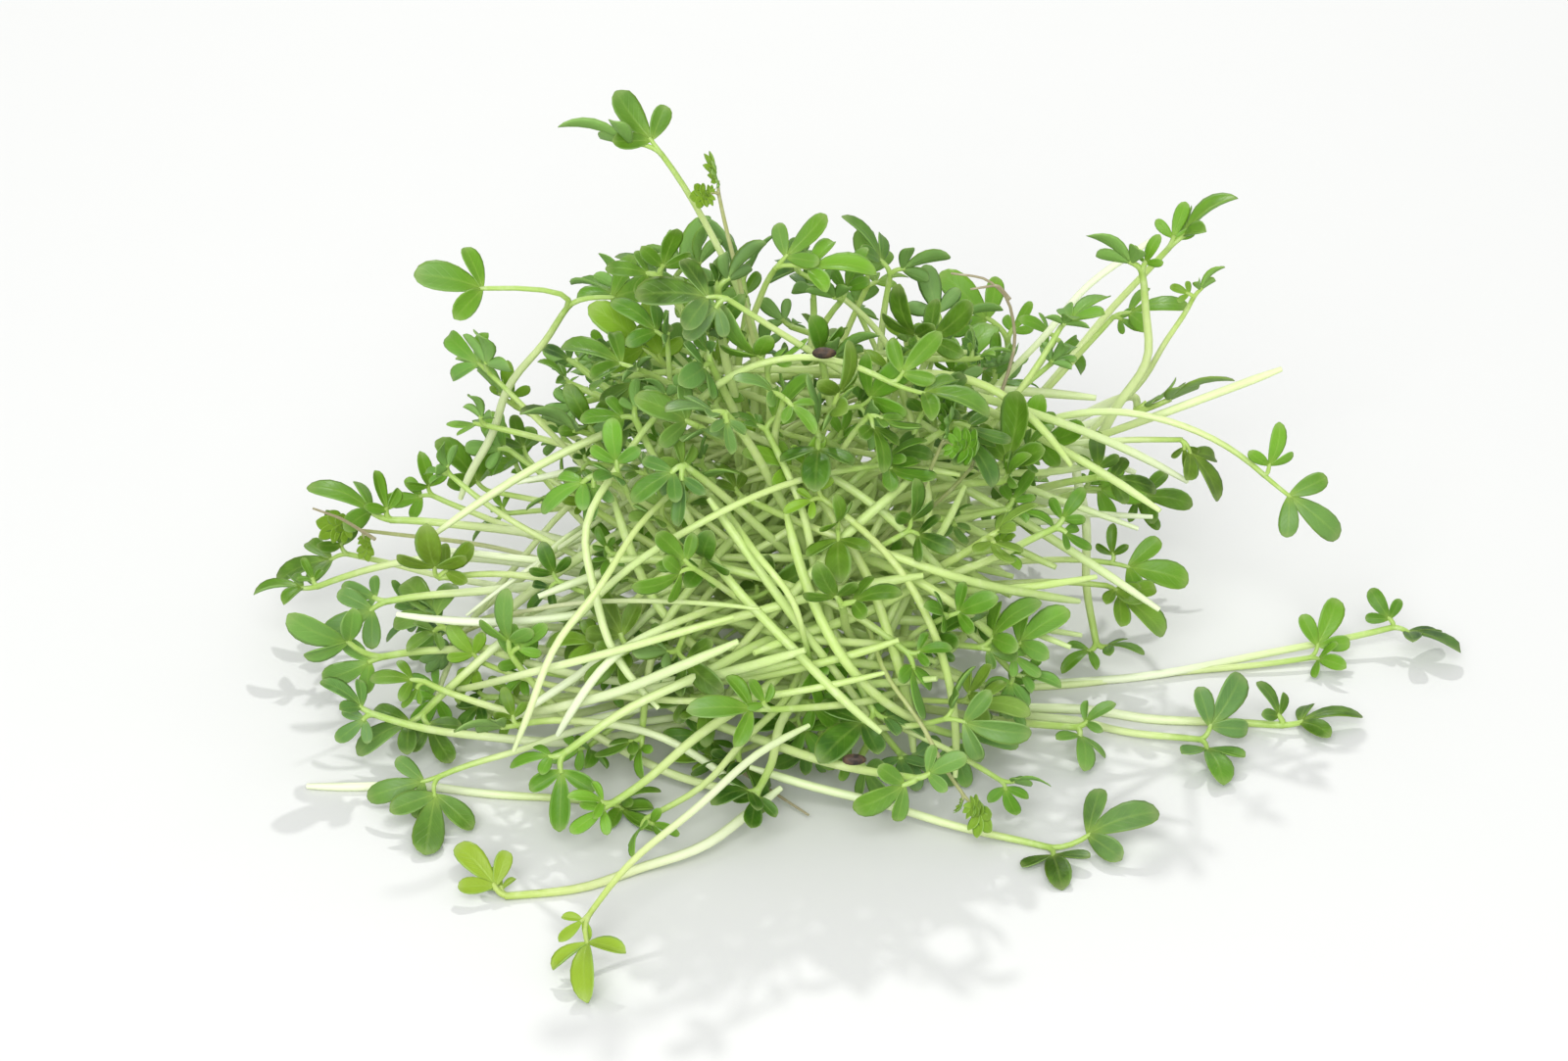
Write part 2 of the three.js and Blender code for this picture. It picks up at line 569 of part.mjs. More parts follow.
function lobeOutline(outline, lobeLength, halfWidth, along, across) {
  const right = outline.map(([share, width]) => [share * lobeLength, -width * halfWidth]);
  const left = outline.map(([share, width]) => [share * lobeLength, width * halfWidth]).reverse();
  const both = outline.at(-1)[1] === 0 ? [...right, ...left.slice(1)] : [...right, ...left];
  return both.map(([u, v]) => [u * along - v * across, u * across + v * along]);
}

// One leaf's lobes from right to left, with the notches between them
function leafOutline(leaf, outline, toothed) {
  const size = leaf.lobe / LOBE_LENGTH;
  if (toothed) {
    return lobeOutline(TOOTH_OUTLINE, leaf.lobe, LOBE_HALF_WIDTH * size * 0.8, 1, 0);
  }
  const sideLength = SIDE_LOBE_LENGTH * size;
  const sideWidth = SIDE_LOBE_HALF_WIDTH * size;
  const notch = [1.4 * size + 0.3, 0.5 * size + 0.1];
  return [
    ...lobeOutline(SMALL_LOBE_OUTLINE, sideLength, sideWidth, SIDE_LOBE_ALONG, -SIDE_LOBE_ACROSS),
    [notch[0], -notch[1]],
    ...lobeOutline(outline, leaf.lobe, LOBE_HALF_WIDTH * size, 1, 0),
    [notch[0], notch[1]],
    ...lobeOutline(SMALL_LOBE_OUTLINE, sideLength, sideWidth, SIDE_LOBE_ALONG, SIDE_LOBE_ACROSS),
  ];
}

// A leaf's outline with the end of its stalk, which a leaf close to the crown does without
function withStalk(leaf, outline) {
  const half = LEAF_STALK_HALF_WIDTH;
  return leaf.stalk > SHORT_STALK ? [[-0.3, -half], ...outline, [-0.3, half]] : outline;
}

// A leaf's blade drawn flat, from the crown at zero. Both leaves' stalks are one narrow band across
// the crown, so the first leaf runs to the right and the second to the left.
function leafShape(leaf, side, outline, toothed) {
  const half = LEAF_STALK_HALF_WIDTH;
  const blade = withStalk(leaf, leafOutline(leaf, outline, toothed));
  const corners = [[0, -half], ...blade.map(([u, v]) => [leaf.stalk + u, v]), [0, half]];
  return new THREE.Shape(corners.map(([x, y]) => new THREE.Vector2(side * x, side * y)));
}

// One leaf, bent from its flat blade. The cut across the crown is the same for both leaves.
function leafGeometry(leaf, shape, crown, sideways, upward) {
  const blade = new THREE.ExtrudeGeometry(shape, { depth: LEAF_THICKNESS, bevelEnabled: false });
  const position = blade.attributes.position;
  for (let i = 0; i < position.count; i += 1) {
    const [x, y] = [position.getX(i), position.getY(i)];
    const height = position.getZ(i) - LEAF_THICKNESS / 2;
    let point = add(add(crown, times(sideways, y)), times(upward, height));
    if (Math.abs(x) > 1e-6) {
      point = leafPoint(leaf, Math.abs(x) - leaf.stalk, Math.sign(x) * y, height);
    }
    position.setXYZ(i, ...point);
  }
  return blade;
}

function leavesOf(sprout, toothed) {
  const [first, second] = leafPair(sprout);
  const sideways = unit(minus(first.across, second.across));
  const upward = unit(cross(minus(first.along, second.along), sideways));
  const shapes = [
    leafShape(first, 1, first.lobe > SMALL_LEAF ? LOBE_OUTLINE : SMALL_LOBE_OUTLINE, toothed),
    leafShape(second, -1, SMALL_LOBE_OUTLINE, toothed),
  ];
  return [first, second].map((leaf, i) =>
    leafGeometry(leaf, shapes[i], sprout.crown, sideways, upward));
}

// Everything below the surface, cut away where a stem or leaf is pressed flat on it
function ground() {
  const block = new THREE.BoxGeometry(400, 400, 20);
  block.translate(0, 0, -10);
  return solidOf(block);
}

const underground = ground();

// Joining and cutting can leave a scrap too small to see, which is dropped
function largestBody(solid) {
  const bodies = solid.decompose();
  return bodies.reduce((largest, body) => (body.volume() > largest.volume() ? body : largest));
}

// One bunch as one closed body, its stems' sections turned by an angle
function bunchGeometry(bunch, turn) {
  const toothed = TOOTHED.has(bunch.key);
  const pieces = [];
  for (const sprout of bunch.sprouts) {
    pieces.push(solidOf(centred(stemGeometry(stemOf(bunch, sprout), turn))));
    leavesOf(sprout, toothed).forEach((leaf) => pieces.push(solidOf(centred(leaf))));
  }
  const joined = pieces.reduce((whole, piece) => whole.add(piece));
  const low = joined.boundingBox().min[2] < 0;
  const trimmed = largestBody(low ? joined.subtract(underground) : joined);
  return geometryOf(trimmed);
}

// Where faces of a join meet edge on edge, the stems are turned a little and joined again
function bunchMesh(bunch) {
  let turn = TURNED[bunch.key] ?? 0;
  let geometry = bunchGeometry(bunch, turn);
  while (!isSound(geometry) && turn < 1.5) {
    turn += 0.17;
    geometry = bunchGeometry(bunch, turn);
  }
  const material = new THREE.MeshStandardMaterial({
    color: YELLOW.has(bunch.key) ? YELLOW_GREEN : LEAF_GREEN,
    roughness: 0.45,
    metalness: 0,
  });
  const mesh = new THREE.Mesh(geometry, material);
  mesh.name = bunch.name;
  return mesh;
}

function huskMesh(name, middle) {
  const husk = new THREE.SphereGeometry(1, 6, 4);
  husk.scale(HUSK_HALF_LENGTH, HUSK_HALF_WIDTH, HUSK_HALF_WIDTH);
  husk.translate(...middle);
  centred(husk);
  const material = new THREE.MeshStandardMaterial({ color: HUSK_BROWN, roughness: 0.6, metalness: 0 });
  const mesh = new THREE.Mesh(geometryOf(solidOf(husk)), material);
  mesh.name = name;
  return mesh;
}

const heap = new THREE.Group();
for (const bunch of layOut()) {
  heap.add(bunchMesh(bunch));
}
HUSKS.forEach(([name, home], index) => {
  heap.add(huskMesh(name, placeHusk(home, drawFrom(HUSK_SEED + index))));
});

export default heap;
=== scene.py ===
import json
import math

import bpy
import numpy as np
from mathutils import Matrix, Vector

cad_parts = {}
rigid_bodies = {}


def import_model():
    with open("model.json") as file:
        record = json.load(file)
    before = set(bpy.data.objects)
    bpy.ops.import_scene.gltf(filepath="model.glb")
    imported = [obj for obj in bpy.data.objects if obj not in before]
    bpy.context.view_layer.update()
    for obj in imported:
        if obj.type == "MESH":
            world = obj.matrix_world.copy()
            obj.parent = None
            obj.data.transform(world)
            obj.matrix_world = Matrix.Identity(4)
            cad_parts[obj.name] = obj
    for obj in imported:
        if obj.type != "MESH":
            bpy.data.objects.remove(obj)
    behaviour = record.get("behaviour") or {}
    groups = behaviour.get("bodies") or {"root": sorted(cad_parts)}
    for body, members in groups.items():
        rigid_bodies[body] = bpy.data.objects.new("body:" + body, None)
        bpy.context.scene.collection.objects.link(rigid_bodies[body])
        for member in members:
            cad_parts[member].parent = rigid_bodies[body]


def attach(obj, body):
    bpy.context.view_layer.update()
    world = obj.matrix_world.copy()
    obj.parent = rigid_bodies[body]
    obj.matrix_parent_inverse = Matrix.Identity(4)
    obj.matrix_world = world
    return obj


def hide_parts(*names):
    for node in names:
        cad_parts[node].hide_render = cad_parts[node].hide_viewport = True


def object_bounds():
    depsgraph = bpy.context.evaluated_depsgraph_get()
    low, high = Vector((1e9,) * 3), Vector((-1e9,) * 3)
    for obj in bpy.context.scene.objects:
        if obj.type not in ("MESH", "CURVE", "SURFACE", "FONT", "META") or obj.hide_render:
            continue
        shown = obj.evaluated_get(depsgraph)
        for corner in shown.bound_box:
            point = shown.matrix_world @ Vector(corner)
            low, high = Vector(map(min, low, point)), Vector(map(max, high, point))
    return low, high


# A loose heap of cut garden cress on a plain white surface.
# The bunches are laid out in millimetres by the same rule as the solids, and every bunch then gets
# its fine stems and leaves. Sprouts between the bunches fill the heap. Meshes are in metres.

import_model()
cad_low, cad_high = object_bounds()

MM = 0.001

# Driving dimensions of one sprout, in millimetres
STEM_LENGTH = 38
LOBE_LENGTH = 9
LOBE_HALF_WIDTH = 2.1
SIDE_LOBE_LENGTH = 6.8
SIDE_LOBE_HALF_WIDTH = 1.5
SIDE_LOBE_ALONG = 0.52
SIDE_LOBE_ACROSS = 0.854
LOBE_SHARE = 0.8
LEAF_BULGE = 0.9

# The heap's middle, moved to the origin
HEAP_MIDDLE = np.array([9.2, -19.2, 0.0])

# Heights at which a stem or a leaf lies pressed on the surface, and the lowest that its beads go
STEM_LYING_HEIGHT = 0.36
LEAF_LYING_HEIGHT = 0.16
STEM_LOWEST = STEM_LYING_HEIGHT - 0.08
LEAF_LOWEST = LEAF_LYING_HEIGHT - 0.05

# Room that sprouts of different bunches leave each other, measured with beads along them on a grid
# of small cells
CELL = 0.5
ROOM = 2.15
GRID_START = np.array([-100, -120, -10])
GRID_CELLS = [420, 380, 200]
STEM_BEADS = 44
STALK_BEADS = 8
LOBE_BEADS = 7
SIDE_LOBE_BEADS = 5
FIRST_LOBE_BEAD = 2
BEAD_START = 0.7
BEAD_SPREAD = 2.6
BEAD_END = 1.15
LEAF_TO_LEAF = 1.4
LEAF_TO_STEM = 1.6
BENDING_COST = 0.03
MOST_TRIES = 3000

# How far each point of a sprout may be bent away to come clear of the others
FOOT_FREEDOM = 14
BEND_FREEDOM = 8
CROWN_FREEDOM = 2.5
TIP_FREEDOM = 3

# How far one small change moves each of them, and the draws that choose which of them moves
FOOT_NUDGE = 3
BEND_NUDGE = 2
CROWN_NUDGE = 0.8
TIP_NUDGE = 1.2
FACING_NUDGE = 0.6
CROWN_FROM = 0.85
FIRST_CHOICE = 0.45

# Which way the upper side of most leaves faces, how much that varies, and how far leaves are cupped
FACING = np.array([0, -0.55, 0.84])
FACING_VARIETY = 0.4
CUP_LEAST = -0.015
CUP_VARIETY = 0.05

# Bunches that give the heap its outline: a common foot, then the bend, the crown and the two leaf
# tips of each sprout that grows from it
BUNCHES = [
  ["lying_right", [25, -10, 0.5], [[50, -6, 0.5], [68, -2, 0.6], [71, 0, 8], [73, -7, 1]],
    [[58, -3, 0.5], [79, 2, 3], [88, -4, 2], [76, 5, 7]]],
  ["lying_front", [23, -12, 0.5], [[46, -17, 0.5], [63, -20, 1], [73, -18, 2], [59, -18, 6]],
    [[41, -20, 0.6], [52, -25, 2], [54, -34, 0.6], [57, -19, 8]]],
  ["front_lying", [5, -40, 4], [[20, -44, 1.5], [32, -48, 0.5], [45, -47, 5], [33, -57, 0.5]]],
  ["long_front", [3, -42, 14], [[-11, -56, 11], [-22, -70, 5], [-22, -81, 0.6], [-26, -74, 4]]],
  ["yellow_front", [-9, -47, 3], [[-22, -56, 0.5], [-33, -59, 0.6], [-40, -55, 4], [-35, -54, 2]]],
  ["floor_cut", [-43, -35, 0.5], [[-31, -36, 0.5], [-21, -38, 0.5], [-13, -40, 3], [-15, -45, 1]]],
  ["peak", [-3, 8, 24], [[-5, 0, 50], [-15, -4, 72.3], [-27, -5, 74.7], [-20.5, -2, 79.5]],
    [[-5, 4, 43], [-1, -2, 56], [12, -3, 57], [5, -1, 63]]],
  ["peak_bud", [-1, -6, 38], [[-6, -4, 57], [-8, -4, 67], [-8, -4, 72], [-12, -5, 68]]],
  ["spar_left", [-38, 12, 25], [[-32, 8, 39], [-27, 4, 48], [-46, 0, 54], [-13, 1, 52]]],
  ["spar_right", [30, 6, 28], [[50, 3, 32], [61, 0, 26], [71, -2, 18], [62, 1, 33]],
    [[43, 6, 28], [51, 4, 30], [55, 2, 22], [50, 3, 25]]],
  ["right_tall", [35, 15, 20], [[45, 11, 34], [45, 8, 51], [38, 6, 57], [47, 8, 56]],
    [[46, 14, 33], [52, 11, 46], [55, 10, 50], [49, 12, 47]]],
  ["right_tip", [27, 22, 18], [[39, 26, 32], [50, 26, 46], [58, 27, 52], [52, 27, 52]],
    [[38, 18, 25], [45, 14, 30], [49, 14, 35], [55, 13, 34]]],
  ["across_top", [15, -10, 40], [[3, -13, 50], [-7, -15, 58], [-18, -17, 59], [-12, -18, 54]]],
  ["top_left", [-6, 0, 30], [[-11, 0, 45], [-15, -2, 55], [-22, -4, 57], [-13, -4, 62]],
    [[-7, -8, 46], [-9, -9, 55], [-10, -10, 63], [-2, -8, 62]]],
  ["top_right", [5, 0, 25], [[13, -2, 37], [17, -4, 46], [14, -5, 55], [23, -6, 53]],
    [[6, -8, 38], [6, -10, 46], [3, -11, 54], [10, -10, 51]]],
  ["top_front", [-3, -16, 44], [[6, -18, 51], [13, -20, 49], [24, -24, 47], [19, -20, 56]]],
  ["front_grey", [3, -17, 22], [[-2, -24, 39], [-7, -30, 50], [-15, -33, 51], [-6, -35, 47]],
    [[-6, -25, 35], [-12, -28, 42], [-18, -32, 39], [-13, -33, 36]]],
  ["crown_left", [-4, -12, 24], [[-1, -20, 41], [0, -24, 49], [-6, -26, 53], [4, -28, 46]],
    [[-15, -16, 29], [-23, -19, 36], [-30, -21, 32], [-24, -22, 31]]],
  ["front_top", [3, -11, 27], [[7, -20, 40], [10, -22, 46], [12, -28, 41], [17, -26, 45]],
    [[15, -13, 38], [21, -15, 41], [25, -19, 34], [28, -17, 40]]],
  ["side_dark", [10, -7, 20], [[19, -11, 30], [26, -14, 33], [31, -15, 39], [29, -10, 43]],
    [[20, -9, 24], [28, -10, 27], [34, -12, 25], [31, -7, 31]]],
  ["side_up", [15, 8, 17], [[25, 4, 24], [31, 2, 29], [33, 2, 36], [38, 0, 33]]],
  ["right_leafy", [22, 25, 14], [[35, 20, 28], [42, 18, 40], [51, 17, 42], [46, 16, 39]],
    [[31, 32, 22], [36, 32, 30], [31, 30, 34], [40, 33, 24]]],
  ["back_curl", [17, 34, 11], [[30, 39, 18], [30, 40, 26], [21, 42, 35], [33, 42, 31]]],
  ["right_cut", [57, 4, 35], [[45, 10, 27], [33, 13, 22], [25, 15, 26], [27, 13, 16]]],
  ["back_cut", [38, 22, 37], [[31, 17, 31], [23, 10, 25], [15, 6, 27], [20, 8, 19]]],
  ["right_fan", [16, 11, 6], [[30, 8, 19], [40, 5, 24], [48, 4, 22], [41, 6, 31]]],
  ["right_far", [20, 26, 4], [[33, 26, 10], [46, 24, 11], [53, 23, 10], [50, 21, 7]]],
  ["right_pair", [12, -3, 10], [[30, -2, 15], [42, -1, 14], [52, -3, 12], [42, 1, 19]],
    [[31, -6, 14], [41, -7, 14], [48, -10, 9], [45, -12, 14]]],
  ["right_down", [37, 14, 18], [[39, 3, 11], [40, -5, 4], [46, -8, 5], [35, -10, 2]]],
  ["right_low", [6, -16, 11], [[16, -23, 15], [24, -27, 17], [31, -28, 20], [29, -31, 14]],
    [[15, -27, 9], [22, -31, 11], [30, -34, 11], [25, -32, 17]]],
  ["front_right", [6, -30, 10], [[13, -34, 9], [20, -37, 11], [30, -40, 12], [25, -35, 16]],
    [[20, -36, 7], [26, -40, 6], [34, -42, 6], [28, -46, 4]]],
  ["front_crumple", [-2, -36, 9], [[9, -42, 8], [16, -46, 9], [22, -46, 12], [10, -48, 6]]],
  ["front_bud", [18, -33, 12], [[22, -40, 8], [23, -44, 5], [23, -47, 1], [20, -47, 3]]],
  ["front_rolled", [-2, -33, 12], [[-10, -44, 7], [-15, -49, 4], [-19, -54, 1], [-10, -52, 2]],
    [[0, -40, 8], [-3, -45, 7], [-9, -50, 9], [-4, -51, 5]]],
  ["front_left", [-9, -37, 12], [[-15, -44, 9], [-19, -47, 6], [-26, -50, 9], [-24, -54, 3]],
    [[-21, -40, 12], [-27, -43, 9], [-32, -45, 6], [-27, -49, 3]]],
  ["white_cut", [-28, -42, 7], [[-22, -38, 19], [-3, -26, 24], [4, -26, 28], [0, -20, 28]]],
  ["left_front", [-21, -30, 6], [[-33, -36, 7], [-42, -39, 5], [-52, -42, 2], [-43, -50, 1]],
    [[-37, -28, 4], [-50, -29, 8], [-56, -28, 11], [-55, -32, 6]]],
  ["left_curl", [-19, -14, 17], [[-35, -22, 14], [-45, -27, 7], [-50, -31, 3], [-43, -33, 1]]],
  ["far_left", [-20, -4, 12], [[-46, -2, 15], [-60, 0, 10], [-68, 1, 9], [-62, 3, 13]],
    [[-34, -11, 16], [-50, -13, 15], [-58, -16, 11], [-56, -10, 16]]],
  ["left_middle", [-20, 4, 4], [[-43, 8, 7], [-57, 9, 10], [-66, 8, 6], [-59, 8, 17]],
    [[-34, 0, 6], [-43, -4, 6], [-49, -3, 10], [-48, -6, 3]]],
  ["left_top", [-16, 5, 9], [[-35, 4, 16], [-51, 4, 18], [-60, 4, 24], [-52, 4, 25]]],
  ["left_bud", [-19, 9, 5], [[-39, 9, 11], [-55, 8, 14], [-62, 7, 16], [-54, 6, 11]]],
  ["left_high", [-19, 10, 10], [[-35, 13, 13], [-46, 14, 16], [-47, 15, 24], [-52, 12, 16]]],
  ["left_wide", [-18, -14, 6], [[-36, -16, 10], [-50, -20, 11], [-60, -24, 16], [-57, -27, 10]],
    [[-35, -22, 8], [-46, -25, 10], [-53, -27, 9], [-49, -29, 7]]],
  ["left_upright", [-20, -26, 4], [[-28, -26, 10], [-33, -28, 16], [-34, -28, 25], [-29, -28, 20]],
    [[-26, -36, 8], [-32, -38, 10], [-39, -40, 12], [-34, -36, 16]]],
  ["back_left", [-13, 23, 9], [[-19, 26, 22], [-23, 24, 30], [-31, 24, 31], [-25, 24, 35]],
    [[-27, 20, 21], [-36, 18, 28], [-40, 18, 32], [-36, 19, 33]]],
  ["upper_left", [-12, -6, 19], [[-18, -3, 28], [-24, -6, 34], [-31, -8, 39], [-27, -6, 42]],
    [[-31, -14, 19], [-43, -16, 20], [-44, -19, 29], [-39, -16, 24]]],
  ["upper_curl", [-6, 5, 22], [[-13, 4, 34], [-19, 0, 42], [-23, -7, 36], [-13, -2, 48]],
    [[-11, -2, 39], [-16, -6, 46], [-22, -8, 50], [-17, -8, 53]]],
  ["face_dark", [-1, -26, 18], [[-8, -34, 29], [-11, -37, 33], [-18, -41, 32], [-15, -38, 38]]],
  ["face_centre", [4, -22, 10], [[6, -32, 23], [7, -35, 28], [14, -38, 30], [4, -38, 34]],
    [[16, -27, 18], [20, -30, 22], [26, -32, 26], [17, -34, 26]]],
  ["face_low", [8, -28, 14], [[2, -38, 15], [-2, -42, 15], [-10, -45, 17], [-4, -43, 21]]],
]

# Bunches whose small leaves are toothed true leaves, and bunches of a yellower green
TOOTHED = {"peak_bud", "front_bud", "left_bud"}
YELLOW = {"long_front", "yellow_front", "peak_bud", "left_bud", "front_bud"}

# Bunches that fill the back of the heap, placed by a seeded rule on a low dome. The depth and the
# height of their directions from its middle have a least value and a variety.
BACK_BUNCHES = 5
BACK_DOME = np.array([46, 40, 44])
BACK_DOME_LIFT = 3
BACK_TURN_SPREAD = 0.3
BACK_DEPTH = (0.35, 0.4)
BACK_HEIGHT = (0.15, 0.6)
BACK_FOOT_SPREAD = 16
BACK_FOOT_DEPTH = 14
BACK_FOOT_LOW = 2
BACK_FOOT_HEIGHT = 12
BACK_BEND_LIFT = 4
BACK_LEAF_REACH = 6
BACK_LEAF_SPREAD = 5

# Seed husks caught in the heap, and their middles
HUSKS = [["seed_husk_1", [5, -19, 52]], ["seed_husk_2", [10, -47, 12]]]
HUSK_HALF_LENGTH = 1.5
HUSK_HALF_WIDTH = 0.8
HUSK_FIRST_REACH = 0.3
HUSK_REACH_STEPS = 200

# Seeds of the draws, for the layout, for the looks of the sprouts and for the husks
BUNCH_SEED = 100
BACK_SEED = 41
HUSK_SEED = 7
LOOKS_SEED = 900


# Products are added in one fixed order, so that the layout comes out the same to the last digit
def dot(a, b):
    return a[..., 0] * b[..., 0] + a[..., 1] * b[..., 1] + a[..., 2] * b[..., 2]


def length(a):
    return np.sqrt(dot(a, a))


def unit(a):
    return a * (1 / length(a))[..., None]


def cross(a, b):
    return np.stack([a[..., 1] * b[..., 2] - a[..., 2] * b[..., 1],
                     a[..., 2] * b[..., 0] - a[..., 0] * b[..., 2],
                     a[..., 0] * b[..., 1] - a[..., 1] * b[..., 0]], -1)


def draw_from(seed):
    """A repeatable draw of numbers from 0 to 1."""
    state = seed

    def draw():
        nonlocal state
        state = (state * 1664525 + 1013904223) % 4294967296
        return state / 4294967296

    return draw


def nudge(point, reach, draw):
    return np.array([value + reach * (2 * draw() - 1) for value in point.tolist()])


def keep_near(point, home, reach, lowest):
    """Puts a point back within reach of its home, and no lower than a lying stem."""
    held = np.minimum(np.maximum(point, home - reach), home + reach)
    held[2] = max(held[2], lowest)
    return held


def stem_control(foot, bend, crown):
    """The middle control point of the quadratic curve from foot to crown that passes the bend."""
    lower = length(bend - foot)
    share = lower / (lower + length(crown - bend))
    rest = 1 - share
    ends = foot * (rest * rest) + crown * (share * share)
    return (bend - ends) * (1 / (2 * rest * share))


def curve_points(foot, control, crown, share):
    """Points of a quadratic curve at an array of shares of its way."""
    rest = 1 - share
    start = foot * (rest * rest)[:, None]
    return start + control * (2 * rest * share)[:, None] + crown * (share * share)[:, None]


class Leaf:
    """A leaf's own directions, the length of its middle lobe and the joint where its lobes meet."""

    def __init__(self, crown, tip, facing, cup):
        reach = length(tip - crown)
        self.along = unit(tip - crown)
        self.across = unit(cross(facing, self.along))
        self.up = cross(self.along, self.across)
        self.lobe = min(LOBE_LENGTH, LOBE_SHARE * reach)
        self.stalk = reach - self.lobe
        self.cup = cup
        self.joint = crown + self.along * self.stalk
        self.turned = 1

    def turn_over(self):
        self.across = -self.across
        self.up = -self.up
        self.turned = -1

    def points(self, u, v):
        """Points of the leaf's middle surface: u along it from the joint, v across it."""
        share = np.minimum(np.maximum(u / self.lobe, 0), 1)
        arch = LEAF_BULGE * 4 * share * (1 - share) * (self.lobe / LOBE_LENGTH)
        rise = arch - self.cup * v * v
        flat = self.joint + self.along * u[:, None] + self.across * v[:, None]
        return flat + self.up * rise[:, None]


def leaf_pair(sprout):
    given = zip(sprout["tips"], sprout["facings"], sprout["cups"])
    first, second = (Leaf(sprout["crown"], tip, facing, cup) for tip, facing, cup in given)
    if dot(first.across, second.across) > 0:
        second.turn_over()
    return first, second


def lobe_places(count):
    """Each bead's share of a lobe's length and its side, in rows of three."""
    share = np.repeat([(i + BEAD_START) / count for i in range(count)], 3)
    return share, np.tile([-1, 0, 1], count)


STALK_PLACES = np.array([i / STALK_BEADS for i in range(STALK_BEADS)])
STEM_PLACES = np.array([i / (STEM_BEADS - 1) for i in range(STEM_BEADS)])
MIDDLE_PLACES = lobe_places(LOBE_BEADS)
SIDE_PLACES = lobe_places(SIDE_LOBE_BEADS)


def lobe_spots(places, lobe_length, half_width, along, across):
    share, side = places
    reach = share * lobe_length
    width = side * half_width * BEAD_SPREAD * share * (BEAD_END - share)
    return reach * along - width * across, reach * across + width * along


def leaf_beads(leaf):
    size = leaf.lobe / LOBE_LENGTH
    side_length = SIDE_LOBE_LENGTH * size
    side_width = SIDE_LOBE_HALF_WIDTH * size
    spots = [(-leaf.stalk * STALK_PLACES, np.zeros(STALK_BEADS)),
             lobe_spots(MIDDLE_PLACES, leaf.lobe, LOBE_HALF_WIDTH * size, 1, 0),
             lobe_spots(SIDE_PLACES, side_length, side_width, SIDE_LOBE_ALONG, SIDE_LOBE_ACROSS),
             lobe_spots(SIDE_PLACES, side_length, side_width, SIDE_LOBE_ALONG, -SIDE_LOBE_ACROSS)]
    u, v = (np.concatenate([spot[i] for spot in spots]) for i in (0, 1))
    return leaf.points(u, v)


# The cells round the bunches that are already placed
taken = np.zeros(GRID_CELLS[::-1], bool)


def cells_of(points):
    return np.floor((points - GRID_START) / CELL).astype(int)


def ball_cells(span):
    steps = np.arange(-span, span + 1)
    return np.stack(np.meshgrid(steps, steps, steps, indexing="ij"), -1).reshape(-1, 3)


def take_room(beads, room):
    around = ball_cells(math.ceil(room / CELL))
    for bead, middle in zip(beads, cells_of(beads)):
        cells = middle + around
        away = (GRID_START + (cells + 0.5) * CELL) - bead
        near = cells[(dot(away, away) <= room * room) & (cells[:, 2] >= 0)]
        taken[near[:, 2], near[:, 1], near[:, 0]] = True


def are_taken(beads):
    cell = cells_of(beads)
    return taken[cell[:, 2], cell[:, 1], cell[:, 0]]


def blocked(beads, lowest):
    return int(are_taken(beads).sum() + (beads[:, 2] < lowest).sum())


def lobe_rows():
    """Which beads of a leaf belong to its lobes, past their roots."""
    rows = []
    first = STALK_BEADS
    for count in (LOBE_BEADS, SIDE_LOBE_BEADS, SIDE_LOBE_BEADS):
        rows += range(first + 3 * FIRST_LOBE_BEAD, first + 3 * count)
        first += 3 * count
    return np.array(rows)


LOBE_ROWS = lobe_rows()


def pairs_within(some, others, reach):
    away = some[:, None] - others[None]
    return int((dot(away, away) < reach * reach).sum())


def measure(bunch):
    """A bunch's beads, how many are in the way of another bunch, of its own leaves or too low, and
    the stems (part 0) and leaves (parts 1 and 2) that they belong to."""
    stems = []
    leaves = []
    for which, sprout in enumerate(bunch["sprouts"]):
        control = stem_control(bunch["foot"], sprout["bend"], sprout["crown"])
        beads = curve_points(bunch["foot"], control, sprout["crown"], STEM_PLACES)
        stems.append([which, 0, beads, blocked(beads, STEM_LOWEST), beads[:-3]])
        for side, leaf in enumerate(leaf_pair(sprout)):
            beads = leaf_beads(leaf)
            clashes = blocked(beads, LEAF_LOWEST)
            leaves.append([which, side + 1, beads, clashes, beads[LOBE_ROWS]])
    for i, leaf in enumerate(leaves):
        for other in leaves[i + 1:]:
            leaf[3] += pairs_within(leaf[4], other[4], LEAF_TO_LEAF)
        for stem in stems:
            leaf[3] += pairs_within(leaf[4], stem[4], LEAF_TO_STEM)
    parts = stems + leaves
    trouble = [(which, part) for which, part, _, clashes, _ in parts if clashes > 0]
    return sum(part[3] for part in parts), np.concatenate([part[2] for part in parts]), trouble


